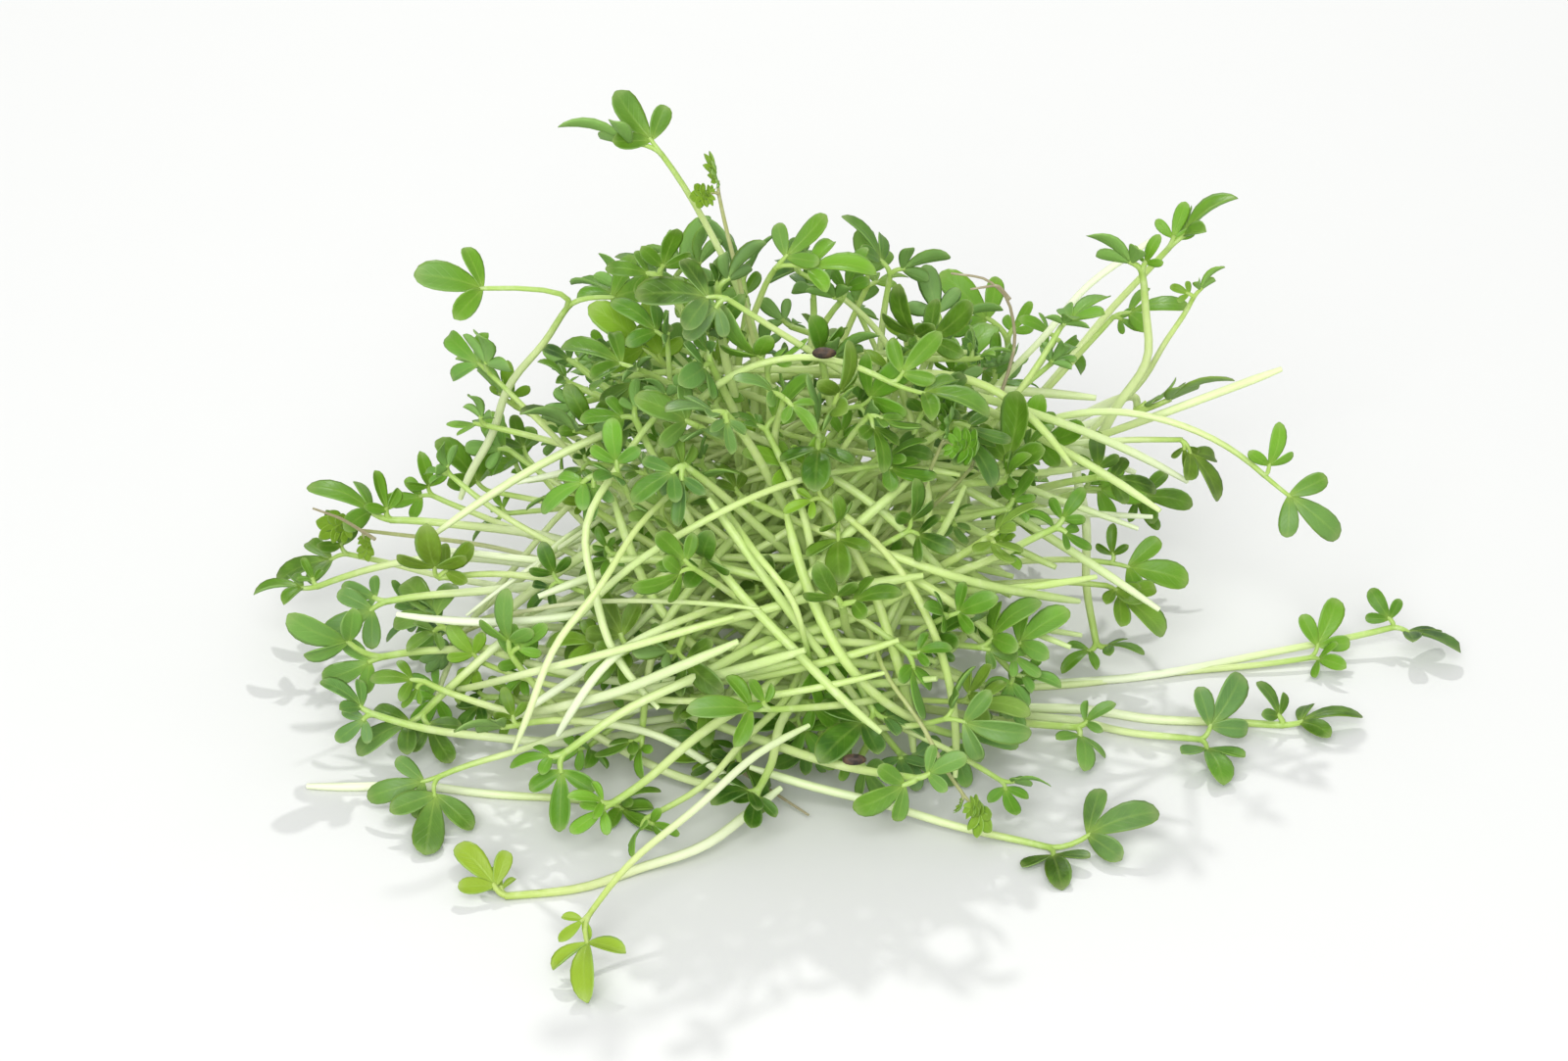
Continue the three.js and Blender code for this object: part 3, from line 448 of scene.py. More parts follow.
def change(bunch, home, trouble, draw):
    """One small change of a stem or a leaf that is in the way, held within each point's freedom."""
    changed = {"foot": bunch["foot"], "sprouts": [dict(sprout) for sprout in bunch["sprouts"]]}
    which, part = trouble[math.floor(draw() * len(trouble))]
    choice = draw()
    sprout = changed["sprouts"][which]
    origin = home["sprouts"][which]
    side = part - 1
    if choice > CROWN_FROM:
        crown = nudge(sprout["crown"], CROWN_NUDGE, draw)
        sprout["crown"] = keep_near(crown, origin["crown"], CROWN_FREEDOM, STEM_LYING_HEIGHT)
    elif part == 0 and choice < FIRST_CHOICE:
        foot = nudge(bunch["foot"], FOOT_NUDGE, draw)
        changed["foot"] = keep_near(foot, home["foot"], FOOT_FREEDOM, STEM_LYING_HEIGHT)
    elif part == 0:
        bend = nudge(sprout["bend"], BEND_NUDGE, draw)
        sprout["bend"] = keep_near(bend, origin["bend"], BEND_FREEDOM, STEM_LYING_HEIGHT)
    elif choice < FIRST_CHOICE:
        facing = unit(nudge(sprout["facings"][side], FACING_NUDGE, draw))
        sprout["facings"] = [facing if i == side else sprout["facings"][i] for i in (0, 1)]
    else:
        tip = nudge(sprout["tips"][side], TIP_NUDGE, draw)
        held = keep_near(tip, origin["tips"][side], TIP_FREEDOM, LEAF_LYING_HEIGHT)
        sprout["tips"] = [held if i == side else sprout["tips"][i] for i in (0, 1)]
    return changed


def bending(bunch, home):
    """How far a bunch has been bent from its home."""
    total = length(bunch["foot"] - home["foot"])
    for sprout, origin in zip(bunch["sprouts"], home["sprouts"]):
        total += 2 * length(sprout["bend"] - origin["bend"])
        total += 3 * length(sprout["crown"] - origin["crown"])
        total += 2 * length(sprout["tips"][0] - origin["tips"][0])
        total += 2 * length(sprout["tips"][1] - origin["tips"][1])
    return total


def place_bunch(home, draw, tries=MOST_TRIES, room=ROOM):
    """Bends a bunch, a little at a time, until it is clear of all that are placed, and takes its
    room."""
    best = home
    clashes, beads, trouble = measure(home)
    cost = clashes
    for _ in range(tries):
        if clashes == 0:
            break
        changed = change(best, home, trouble, draw)
        tried = measure(changed)
        changed_cost = tried[0] + BENDING_COST * bending(changed, home)
        if changed_cost <= cost:
            best = changed
            clashes, beads, trouble = tried
            cost = changed_cost
    take_room(beads, room)
    return best


def whole_foot(foot, sprout):
    """A stem that was seen only in part is carried on past its foot to a sprout's usual length."""
    upper = length(sprout["crown"] - sprout["bend"])
    lower = length(foot - sprout["bend"])
    share = max((STEM_LENGTH - upper) / lower, 1)
    whole = sprout["bend"] + (foot - sprout["bend"]) * share
    whole[2] = max(whole[2], STEM_LYING_HEIGHT)
    return whole


def home_bunch(foot, rows, draw):
    sprouts = []
    for bend, crown, *tips in rows:
        facings = [unit(nudge(FACING, FACING_VARIETY, draw)) for _ in tips]
        cups = [CUP_VARIETY * draw() + CUP_LEAST for _ in tips]
        sprouts.append({"bend": np.array(bend, float), "crown": np.array(crown, float),
                        "tips": [np.array(tip, float) for tip in tips],
                        "facings": facings, "cups": cups})
    return {"foot": whole_foot(np.array(foot, float), sprouts[0]), "sprouts": sprouts}


def back_row(foot, turn, draw):
    """A sprout of the heap's back: its crown on the dome, its leaves further out, its bend up."""
    across = turn + BACK_TURN_SPREAD * (draw() - 0.5)
    deep, high = (least + variety * draw() for least, variety in (BACK_DEPTH, BACK_HEIGHT))
    side = unit(np.array([across, deep, high]))
    crown = side * BACK_DOME + np.array([0, 0, BACK_DOME_LIFT])
    bend = (np.array(foot) + crown) * 0.5 + np.array([0, 0, BACK_BEND_LIFT * draw()])
    outward = crown + side * BACK_LEAF_REACH
    tips = [nudge(outward, BACK_LEAF_SPREAD, draw) for _ in range(2)]
    return [bend, crown] + [np.array([tip[0], tip[1], max(tip[2], 1)]) for tip in tips]


def lay_out():
    """Every bunch with its key, in the order in which they are placed."""
    layout = []
    for index, (key, foot, *rows) in enumerate(BUNCHES):
        draw = draw_from(BUNCH_SEED + index)
        layout.append((key, place_bunch(home_bunch(foot, rows, draw), draw)))
    for index in range(BACK_BUNCHES):
        draw = draw_from(BACK_SEED + index)
        turn = (2 * index) / (BACK_BUNCHES - 1) - 1
        foot = [BACK_FOOT_SPREAD * turn + BACK_FOOT_SPREAD * (draw() - 0.5),
                BACK_FOOT_DEPTH * draw(), BACK_FOOT_LOW + BACK_FOOT_HEIGHT * draw()]
        rows = [back_row(foot, turn, draw)]
        layout.append((f"back_{index + 1}", place_bunch(home_bunch(foot, rows, draw), draw)))
    return layout


def place_husk(home, draw):
    """A husk is caught close to a stem or leaf: the nearest free place round its home."""
    def beads(middle):
        return np.array([middle + np.array([side, 0, 0]) for side in (-1, 0, 1)])

    home = np.array(home, float)
    middle = home
    for i in range(MOST_TRIES):
        if not are_taken(beads(middle)).any():
            break
        middle = nudge(home, HUSK_FIRST_REACH + i / HUSK_REACH_STEPS, draw)
    take_room(beads(middle), ROOM)
    return middle


class Wire:
    """A node's output, so that sums of outputs can be written as plain expressions."""

    def __init__(self, board, socket):
        self.board = board
        self.socket = socket

    def sum_with(self, operation, *values):
        return self.board.add("ShaderNodeMath", {"operation": operation}, dict(enumerate(values)))

    def __add__(self, other):
        return self.sum_with("ADD", self, other)

    def __sub__(self, other):
        return self.sum_with("SUBTRACT", self, other)

    def __mul__(self, other):
        return self.sum_with("MULTIPLY", self, other)

    def __truediv__(self, other):
        return self.sum_with("DIVIDE", self, other)

    def __radd__(self, other):
        return self.sum_with("ADD", other, self)

    def __rsub__(self, other):
        return self.sum_with("SUBTRACT", other, self)

    def __rmul__(self, other):
        return self.sum_with("MULTIPLY", other, self)

    def __rtruediv__(self, other):
        return self.sum_with("DIVIDE", other, self)

    def __abs__(self):
        return self.sum_with("ABSOLUTE", self)

    def sine(self):
        return self.sum_with("SINE", self)

    def at_most(self, other):
        return self.sum_with("MINIMUM", self, other)

    def at_least(self, other):
        return self.sum_with("MAXIMUM", self, other)

    def rising(self, low, high):
        """0 below low, 1 above high and a smooth step between them."""
        settings = {"interpolation_type": "SMOOTHSTEP"}
        return self.board.add("ShaderNodeMapRange", settings,
                              {"Value": self, "From Min": low, "From Max": high})


class Board:
    """A node tree under construction, for materials and for geometry."""

    def __init__(self, tree):
        self.tree = tree

    def add(self, kind, settings=None, inputs=None, output=0):
        """Adds a node, sets it up, feeds its sockets by name or number and returns one output."""
        node = self.tree.nodes.new(kind)
        for name, value in (settings or {}).items():
            setattr(node, name, value)
        for name, value in (inputs or {}).items():
            if isinstance(value, Wire):
                self.tree.links.new(value.socket, node.inputs[name])
            else:
                node.inputs[name].default_value = value
        return Wire(self, node.outputs[output]) if node.outputs else node

    def attribute(self, name):
        return self.add("ShaderNodeAttribute", {"attribute_name": name}, output="Fac")

    def mix(self, share, first, second):
        """A colour between two others."""
        pair = [value if isinstance(value, Wire) else (*value, 1) for value in (first, second)]
        sockets = {0: share, 6: pair[0], 7: pair[1]}
        return self.add("ShaderNodeMix", {"data_type": "RGBA"}, sockets, 2)

    def vector(self, operation, first, second, output=0):
        return self.add("ShaderNodeVectorMath", {"operation": operation}, {0: first, 1: second},
                        output)

    def noise(self, scale, detail=2.0, roughness=0.5):
        place = self.add("ShaderNodeTexCoord", output="Object")
        return self.add("ShaderNodeTexNoise", None,
                        {"Vector": place, "Scale": scale, "Detail": detail, "Roughness": roughness})


def new_material(name, build):
    material = bpy.data.materials.new(name)
    material.use_nodes = True
    material.node_tree.nodes.clear()
    board = Board(material.node_tree)
    board.add("ShaderNodeOutputMaterial", None, {"Surface": build(board)})
    return material


def plant_surface(board, colour, roughness, height, shine, bump_depth, glow, glow_share):
    """A glossy skin over tissue that lets some light through."""
    bump = board.add("ShaderNodeBump", None,
                     {"Height": height, "Distance": bump_depth, "Strength": 0.6})
    skin = board.add("ShaderNodeBsdfPrincipled", None,
                     {"Base Color": colour, "Roughness": roughness, "Normal": bump,
                      "Specular IOR Level": shine})
    through = board.add("ShaderNodeBsdfTranslucent", None, {"Color": (*glow, 1)})
    return board.add("ShaderNodeMixShader", None, {0: glow_share, 1: skin, 2: through})


# Colours of the leaves
LEAF_DEEP = (0.008, 0.048, 0.003)
LEAF_FRESH = (0.15, 0.37, 0.022)
LEAF_PATCH = (0.17, 0.36, 0.035)
# Grey of the leaves' waxy bloom, partly painted sheen of reflected light
LEAF_BLOOM_AND_SHEEN = (0.14, 0.27, 0.1)
LEAF_YELLOWED = (0.4, 0.56, 0.04)
LEAF_ROOT = (0.42, 0.58, 0.11)
LEAF_RIB = (0.42, 0.6, 0.12)
LEAF_TIP = (0.4, 0.47, 0.19)
LEAF_MARGIN = (0.42, 0.58, 0.12)
LEAF_UNDERSIDE = (0.3, 0.5, 0.17)
LEAF_GLOW = (0.36, 0.58, 0.04)


def leaf_looks(board):
    """Green blades, each of its own tone, with a pale midrib, side veins and margin, a yellower
    root and tip, a grey bloom in places that is partly painted sheen, and a paler underside."""
    along = board.attribute("blade_along")
    upper = board.attribute("upper_side")
    beside_rib = abs(board.attribute("blade_across"))
    speckle = board.noise(2600, 2)
    rib = (1 - beside_rib.rising(0.02, 0.16)) * (1 - along * 0.75)
    side_veins = ((along * 7 - beside_rib * 2.2) * (2 * math.pi)).sine()
    veins = side_veins.rising(0.78, 1) * (1 - beside_rib.rising(0.55, 0.95))
    layers = ((board.noise(420, 3).rising(0.3, 0.75) * 0.4, LEAF_PATCH),
              # A grey bloom in patches: partly the leaves' own wax, partly painted sheen of
              # reflected light
              (board.noise(38, 1).rising(0.48, 0.68) * 0.6, LEAF_BLOOM_AND_SHEEN),
              (board.attribute("yellowing") * 0.8, LEAF_YELLOWED),
              ((1 - along.rising(0, 0.35)) * 0.45, LEAF_ROOT),
              (rib * 0.25 + veins * 0.06, LEAF_RIB),
              (along.rising(0.8, 1) * 0.3, LEAF_TIP),
              (beside_rib.rising(0.84, 1) * 0.35, LEAF_MARGIN))
    green = board.mix(board.attribute("tone"), LEAF_DEEP, LEAF_FRESH)
    for share, layer in layers:
        green = board.mix(share, green, layer)
    colour = board.mix(upper, board.mix(0.5, green, LEAF_UNDERSIDE), green)
    roughness = 0.5 - upper * 0.14 + speckle * 0.1
    height = rib * -0.6 + veins * -0.25 + speckle * 0.25
    return plant_surface(board, colour, roughness, height, shine=0.3, bump_depth=0.00012,
                         glow=LEAF_GLOW, glow_share=0.27)


# Colours of the stems, and the place deep in the heap round which painted shade greens them, in
# metres
STEM_WHITE = (0.86, 0.9, 0.73)
STEM_CREAM = (0.74, 0.82, 0.48)
# Painted shade: the darker green of stems deep in the heap, as if shaded by the leaves over them
STEM_PAINTED_SHADE = (0.52, 0.7, 0.18)
STEM_UPPER = (0.62, 0.74, 0.3)
STEM_HEAD = (0.38, 0.57, 0.12)
STEM_YELLOWED = (0.55, 0.6, 0.14)
STEM_BLUSH = (0.3, 0.2, 0.17)
STEM_STREAK = (0.86, 0.88, 0.68)
STEM_GLOW = (0.82, 0.9, 0.56)
PAINTED_SHADE_CORE = (0, 0.004, 0.03)

# Colours of the husks and of the surface
HUSK_BLACK = (0.012, 0.008, 0.006)
HUSK_BROWN = (0.085, 0.045, 0.022)
FLOOR_WHITE = (0.61, 0.616, 0.609)
FLOOR_GRAIN = (0.6, 0.606, 0.599)


def stem_looks(board):
    """Stems, white at the foot and green at the head, with fine pale streaks and painted shade in
    the heap.
    """
    share = board.attribute("stem_share")
    streaks = board.noise(900, 3, 0.6)
    fine = board.noise(3200, 2)
    place = board.add("ShaderNodeTexCoord", output="Object")
    from_shade_core = board.vector("DISTANCE", place, PAINTED_SHADE_CORE, "Value")
    # Painted shade: stems near the heap's middle are made darker and greener, as if shaded by
    # leaves
    layers = (((1 - from_shade_core.rising(0.022, 0.05)) * 0.85, STEM_PAINTED_SHADE),
              (share.rising(0.35, 0.95), STEM_UPPER),
              (share.rising(0.75, 1.0), STEM_HEAD),
              (board.attribute("yellowing") * share * 0.5, STEM_YELLOWED),
              (board.attribute("blush"), STEM_BLUSH),
              (streaks.rising(0.45, 0.8) * 0.3, STEM_STREAK))
    colour = board.mix(board.attribute("tone").rising(0.2, 0.9), STEM_WHITE, STEM_CREAM)
    for part, layer in layers:
        colour = board.mix(part, colour, layer)
    roughness = 0.36 + fine * 0.12
    height = streaks * 0.6 + fine * 0.3
    return plant_surface(board, colour, roughness, height, shine=0.5, bump_depth=0.0001,
                         glow=STEM_GLOW, glow_share=0.34)


def husk_looks(board):
    """Dull dark brown husks."""
    patches = board.noise(900, 4, 0.65)
    colour = board.mix(patches.rising(0.3, 0.7), HUSK_BLACK, HUSK_BROWN)
    bump = board.add("ShaderNodeBump", None,
                     {"Height": patches, "Distance": 0.0003, "Strength": 0.8})
    return board.add("ShaderNodeBsdfPrincipled", None,
                     {"Base Color": colour, "Roughness": 0.5 + patches * 0.3, "Normal": bump})


def floor_looks(board):
    """A plain white surface with the faintest grain."""
    grain = board.noise(60, 3)
    colour = board.mix(grain * 0.3, FLOOR_WHITE, FLOOR_GRAIN)
    return board.add("ShaderNodeBsdfPrincipled", None,
                     {"Base Color": colour, "Roughness": 0.55 + grain * 0.1,
                      "Specular IOR Level": 0.25})


leaf_skin = new_material("cress_leaf", leaf_looks)
stem_skin = new_material("cress_stem", stem_looks)
husk_skin = new_material("seed_husk", husk_looks)
floor_skin = new_material("white_surface", floor_looks)

# Facets of the fine sprouts
STEM_SIDES = 7
STEM_RINGS = 20
STALK_RINGS = 6
LOBE_RINGS = 10
LOBE_SIDES = 8

# How a blade is made: its thickness, its thinnest width, how far its root reaches past the joint,
# and the groove along its midrib
BLADE_THICKNESS = 0.52
LEAST_HALF_WIDTH = 0.16
LOBE_ROOT = -0.2
GROOVE_DEPTH = 0.09
GROOVE_WIDTH = 0.16

# How far a blade's first and last rings lie inside its ends, how flat its two sides and how sharp
# its edges are, and how thin its ends get
RING_INSET = 0.25
SIDE_ROUNDING = 0.85
EDGE_ROUNDING = 0.7
BLADE_END = 0.08

# Outlines of a blade: how fast it widens and narrows again, and the formula's greatest value
BLUNT = (0.9, 0.45, 0.4235)
POINTED = (0.8, 0.7, 0.355)

# The seed leaves that every leaf is one of: length and width of the middle lobe, length and width
# of the side lobes, their spread, and how far edges lift, tips curl and blades fold
SEED_LEAVES = (
    (1.0, 0.95, 0.9, 0.95, 0.0, 0.5, 0.4, 0.3),
    (0.97, 0.82, 0.82, 0.85, 0.08, 0.25, 0.9, -0.5),
    (1.0, 1.0, 0.88, 0.95, -0.07, 0.8, -0.3, 0.1),
    (0.94, 0.72, 0.78, 0.75, 0.03, 1.0, 0.7, 0.5),
)
TOOTHED_SHAPE = len(SEED_LEAVES)
SIDE_LOBE_ANGLE = math.atan2(SIDE_LOBE_ACROSS, SIDE_LOBE_ALONG)
SIDE_LOBE_CURL = 0.7
RIGHT_LOBE_LENGTH = 0.96
RIGHT_LOBE_SPREAD = 0.6

# Young true leaves: length, half width and angle of each tooth of a fan, and the place, size and
# turn of each fan on the stalk
TRUE_LEAF_TEETH = ((5.4, 1.7, 0), (4.9, 1.5, 0.65), (4.6, 1.5, -0.7), (3.4, 1.2, 1.3),
                   (3.2, 1.2, -1.25))
TRUE_LEAF_FANS = ((3.0, 1.0, 0.0), (1.2, 0.65, 0.9), (0.4, 0.5, -1.1))
TRUE_LEAF_STALK = (4.2, 0.22)
TOOTH_LIFT = 0.5
TOOTH_CURL = -1.9


def closed_tube(rings, sides):
    """Faces of a tube of rings of points, closed at both ends."""
    faces = []
    for first in range(0, (rings - 1) * sides, sides):
        for k in range(sides):
            after = (k + 1) % sides
            faces.append((first + k, first + after, first + sides + after, first + sides + k))
    faces.append(tuple(range(sides))[::-1])
    faces.append(tuple((rings - 1) * sides + k for k in range(sides)))
    return faces


def ring_shares(rings, inset):
    """Shares of a blade's or a husk's length at which its rings lie, closer towards its ends."""
    return 0.5 - 0.5 * np.cos(np.pi * (np.arange(rings) + inset) / (rings - 1 + 2 * inset))


def lobe(lobe_length, half_width, angle, edge_lift, tip_curl, fold=0.0, outline=BLUNT):
    """One lobe of a leaf as a closed blade in the leaf's own plane, in millimetres: rows of points,
    its faces, and each point's share along it, place across it and side."""
    widening, narrowing, greatest = outline
    share = ring_shares(LOBE_RINGS, RING_INSET)
    bow = share ** widening * (1 - share) ** narrowing / greatest
    width = np.maximum(half_width * bow, LEAST_HALF_WIDTH)
    turn = 2 * np.pi * np.arange(LOBE_SIDES) / LOBE_SIDES
    across = np.sign(np.cos(turn)) * np.abs(np.cos(turn)) ** SIDE_ROUNDING
    edge = np.sign(np.sin(turn)) * np.abs(np.sin(turn)) ** EDGE_ROUNDING
    grid_share, grid_across = np.meshgrid(share, across, indexing="ij")
    grid_edge = np.broadcast_to(edge, grid_share.shape)
    taper = np.sqrt(np.clip(4 * share * (1 - share), BLADE_END, 1))[:, None]
    groove = GROOVE_DEPTH * np.exp(-(grid_across / GROOVE_WIDTH) ** 2) * (1 - grid_share)
    u = LOBE_ROOT + grid_share * (lobe_length - LOBE_ROOT)
    v = grid_across * width[:, None]
    w = grid_edge * (BLADE_THICKNESS / 2) * taper - groove
    w = w + edge_lift * grid_across ** 2 * (width / half_width)[:, None]
    w = w - tip_curl * grid_share ** 3 + fold * grid_across * grid_share * (1 - grid_share)
    way, side = math.cos(angle), math.sin(angle)
    points = np.stack([u * way - v * side, u * side + v * way, w], -1).reshape(-1, 3)
    marks = {"blade_along": grid_share.ravel(), "blade_across": grid_across.ravel(),
             "upper_side": (grid_edge.ravel() > 0).astype(float)}
    return points, closed_tube(LOBE_RINGS, LOBE_SIDES), marks


def new_mesh(name, points, faces=(), lines=(), marks=None):
    mesh = bpy.data.meshes.new(name)
    mesh.from_pydata([tuple(p) for p in points], [tuple(l) for l in lines],
                     [tuple(f) for f in faces])
    for mark, values in (marks or {}).items():
        values = np.asarray(values, np.float32)
        kind, field = ("FLOAT", "value") if values.ndim == 1 else ("FLOAT_VECTOR", "vector")
        mesh.attributes.new(mark, kind, "POINT").data.foreach_set(field, values.ravel())
    mesh.update()
    return mesh


def joined_blades(name, blades):
    """Several closed blades as one leaf."""
    faces = []
    shift = 0
    for points, blade_faces, _ in blades:
        faces += [tuple(shift + i for i in face) for face in blade_faces]
        shift += len(points)
    marks = {mark: np.concatenate([blade[2][mark] for blade in blades]) for mark in blades[0][2]}
    mesh = new_mesh(name, np.concatenate([blade[0] for blade in blades]), faces, (), marks)
    return bpy.data.objects.new(name, mesh)


def seed_leaf(name, long, wide, side_long, side_wide, spread, lift, curl, fold):
    """A seed leaf of three lobes, in millimetres, its joint at zero, its middle lobe along +X."""
    side_length = SIDE_LOBE_LENGTH * side_long
    side_width = SIDE_LOBE_HALF_WIDTH * side_wide
    left, right = SIDE_LOBE_ANGLE + spread, -SIDE_LOBE_ANGLE + spread * RIGHT_LOBE_SPREAD
    side_curl = curl * SIDE_LOBE_CURL
    return joined_blades(name, [
        lobe(LOBE_LENGTH * long, LOBE_HALF_WIDTH * wide, 0, lift, curl, fold),
        lobe(side_length, side_width, left, lift, side_curl, fold),
        lobe(side_length * RIGHT_LOBE_LENGTH, side_width, right, lift, side_curl, -fold)])


def true_leaf(name):
    """Young true leaves on one stalk: fans of pointed teeth, cupped upwards."""
    blades = [lobe(*TRUE_LEAF_STALK, 0, 0, 0)]
    for place, size, turn in TRUE_LEAF_FANS:
        for tooth_length, half_width, angle in TRUE_LEAF_TEETH:
            points, faces, marks = lobe(tooth_length * size, half_width * size, angle + turn,
                                        TOOTH_LIFT * size, TOOTH_CURL * size, outline=POINTED)
            blades.append((points + np.array([place, 0, 0]), faces, marks))
    return joined_blades(name, blades)


leaf_shapes = bpy.data.collections.new("leaf_shapes")
for number, row in enumerate(SEED_LEAVES):
    leaf_shapes.objects.link(seed_leaf(f"leaf_{number + 1}", *row))
leaf_shapes.objects.link(true_leaf(f"leaf_{TOOTHED_SHAPE + 1}_toothed"))


# What every point of a sprout's line or leaf is marked with
NUMBERS = ("is_leaf", "radius", "stem_share", "tone", "yellowing", "blush", "leaf_size",
           "leaf_shape", "bulge", "cup")
DIRECTIONS = ("leaf_up", "leaf_along", "leaf_joint")


def sprout_tree():
    """Turns lines into stems and loose points into leaves. Every leaf point holds its directions,
    size, shape number, bulge and cup, and every line point its radius."""
    tree = bpy.data.node_groups.new("cress_sprouts", "GeometryNodeTree")
    for name, way, kind in (("Sprouts", "INPUT", "NodeSocketGeometry"),
                            ("Stem sides", "INPUT", "NodeSocketInt"),
                            ("Leaf shapes", "INPUT", "NodeSocketCollection"),
                            ("Lobe length", "INPUT", "NodeSocketFloat"),
                            ("Sprouts", "OUTPUT", "NodeSocketGeometry")):
        tree.interface.new_socket(name, in_out=way, socket_type=kind)
    board = Board(tree)
    entry = board.add("NodeGroupInput").socket.node
    given = {socket.name: Wire(board, socket) for socket in entry.outputs if socket.name}

    def mark(name):
        settings = {"data_type": "FLOAT_VECTOR" if name in DIRECTIONS else "FLOAT"}
        return board.add("GeometryNodeInputNamedAttribute", settings, {"Name": name})

    leaf_points = board.add("GeometryNodeSeparateGeometry", {"domain": "POINT"},
                            {"Geometry": given["Sprouts"], "Selection": mark("is_leaf")})
    lines = Wire(board, leaf_points.socket.node.outputs[1])
    curves = board.add("GeometryNodeMeshToCurve", None, {"Mesh": lines})
    ring = board.add("GeometryNodeCurvePrimitiveCircle", {"mode": "RADIUS"},
                     {"Resolution": given["Stem sides"], "Radius": 1.0})
    tubes = board.add("GeometryNodeCurveToMesh", None,
                      {"Curve": curves, "Profile Curve": ring, "Scale": mark("radius"),
                       "Fill Caps": True})
    stems = board.add("GeometryNodeSetMaterial", None, {"Geometry": tubes, "Material": stem_skin})

    shapes = board.add("GeometryNodeCollectionInfo", {"transform_space": "ORIGINAL"},
                       {"Collection": given["Leaf shapes"], "Separate Children": True,
                        "Reset Children": True})
    upright = board.add("FunctionNodeAlignRotationToVector", {"axis": "Z"},
                        {"Vector": mark("leaf_up")})
    turned = board.add("FunctionNodeAlignRotationToVector", {"axis": "X", "pivot_axis": "Z"},
                       {"Rotation": upright, "Vector": mark("leaf_along")})
    shape_number = board.add("FunctionNodeFloatToInt", None, {"Float": mark("leaf_shape")})
    leaves = board.add("GeometryNodeInstanceOnPoints", None,
                       {"Points": leaf_points, "Instance": shapes, "Pick Instance": True,
                        "Instance Index": shape_number, "Rotation": turned,
                        "Scale": mark("leaf_size")})
    real = board.add("GeometryNodeRealizeInstances", None, {"Geometry": leaves})

    along, up = mark("leaf_along"), mark("leaf_up")
    from_joint = board.vector("SUBTRACT", board.add("GeometryNodeInputPosition"),
                              mark("leaf_joint"))
    u = board.vector("DOT_PRODUCT", from_joint, along, "Value")
    v = board.vector("DOT_PRODUCT", from_joint, board.vector("CROSS_PRODUCT", up, along), "Value")
    share = (u / (mark("leaf_size") * given["Lobe length"])).at_least(0).at_most(1)
    rise = mark("bulge") * 4 * share * (1 - share) - mark("cup") * v * v
    lift = board.add("ShaderNodeVectorMath", {"operation": "SCALE"}, {0: up, "Scale": rise})
    bent = board.add("GeometryNodeSetPosition", None, {"Geometry": real, "Offset": lift})
    blades = board.add("GeometryNodeSetMaterial", None, {"Geometry": bent, "Material": leaf_skin})
    both = board.add("GeometryNodeJoinGeometry")
    for part in (stems, blades):
        tree.links.new(part.socket, both.socket.node.inputs[0])
    board.add("NodeGroupOutput", None, {0: both})
    return tree


grow = sprout_tree()

# The fine sprouts stay within the solids' own box, a hair above the surface
FLOOR_GAP = 0.00001
LOWEST = np.array([*cad_low[:2], FLOOR_GAP], np.float32)
HIGHEST = np.array(list(cad_high), np.float32)


class Bundle:
    """The lines and leaf points of the sprouts that make one piece, in metres, in the part's
    frame."""

    def __init__(self):
        self.points = []
        self.lines = []
        self.marks = {name: [] for name in NUMBERS + DIRECTIONS}

    def add_points(self, points, **marks):
        """Adds points, each mark with one value for all of them or one for each."""
        first = sum(len(p) for p in self.points)
        self.points.append((points - HEAP_MIDDLE) * MM)
        for name, rows in self.marks.items():
            shape, empty = ((len(points), 3), (0, 0, 1)) if name in DIRECTIONS else (len(points), 0)
            rows.append(np.broadcast_to(np.asarray(marks.get(name, empty), float), shape))
        return first

    def add_line(self, points, radius, stem_share, tone, yellowing, blush):
        first = self.add_points(points, radius=radius * MM, stem_share=stem_share, tone=tone,
                                yellowing=yellowing, blush=blush)
        self.lines += [(first + i, first + i + 1) for i in range(len(points) - 1)]

    def add_leaf(self, leaf, shape, tone, yellowing):
        size = leaf.lobe / LOBE_LENGTH
        self.add_points(leaf.joint[None], is_leaf=1, tone=tone, yellowing=yellowing,
                        leaf_up=leaf.up * leaf.turned, leaf_along=leaf.along,
                        leaf_joint=(leaf.joint - HEAP_MIDDLE) * MM, leaf_size=size * MM,
                        leaf_shape=shape, bulge=LEAF_BULGE * size * leaf.turned * MM,
                        cup=leaf.cup * leaf.turned / MM)

    def piece(self, name):
        """Grows the sprouts with the node tree and returns them as one plain mesh object."""
        marks = {mark: np.concatenate(rows) for mark, rows in self.marks.items()}
        seedlings = new_mesh(name, np.concatenate(self.points), (), self.lines, marks)
        made = bpy.data.objects.new(name, seedlings)
        bpy.context.scene.collection.objects.link(made)
        modifier = made.modifiers.new("grow", "NODES")
        modifier.node_group = grow
        values = {"Stem sides": STEM_SIDES, "Leaf shapes": leaf_shapes, "Lobe length": LOBE_LENGTH}
        for socket in grow.interface.items_tree:
            if socket.in_out == "INPUT" and socket.name in values:
                modifier[socket.identifier] = values[socket.name]
        depsgraph = bpy.context.evaluated_depsgraph_get()
        grown = bpy.data.meshes.new_from_object(made.evaluated_get(depsgraph),
                                                preserve_all_data_layers=True,
                                                depsgraph=depsgraph)
        made.modifiers.remove(modifier)
        made.data = grown
        bpy.data.meshes.remove(seedlings)
        corners = np.empty(3 * len(grown.vertices), np.float32)
        grown.vertices.foreach_get("co", corners)
        held = np.clip(corners.reshape(-1, 3), LOWEST, HIGHEST)
        grown.vertices.foreach_set("co", held.ravel())
        grown.shade_smooth()
        return made


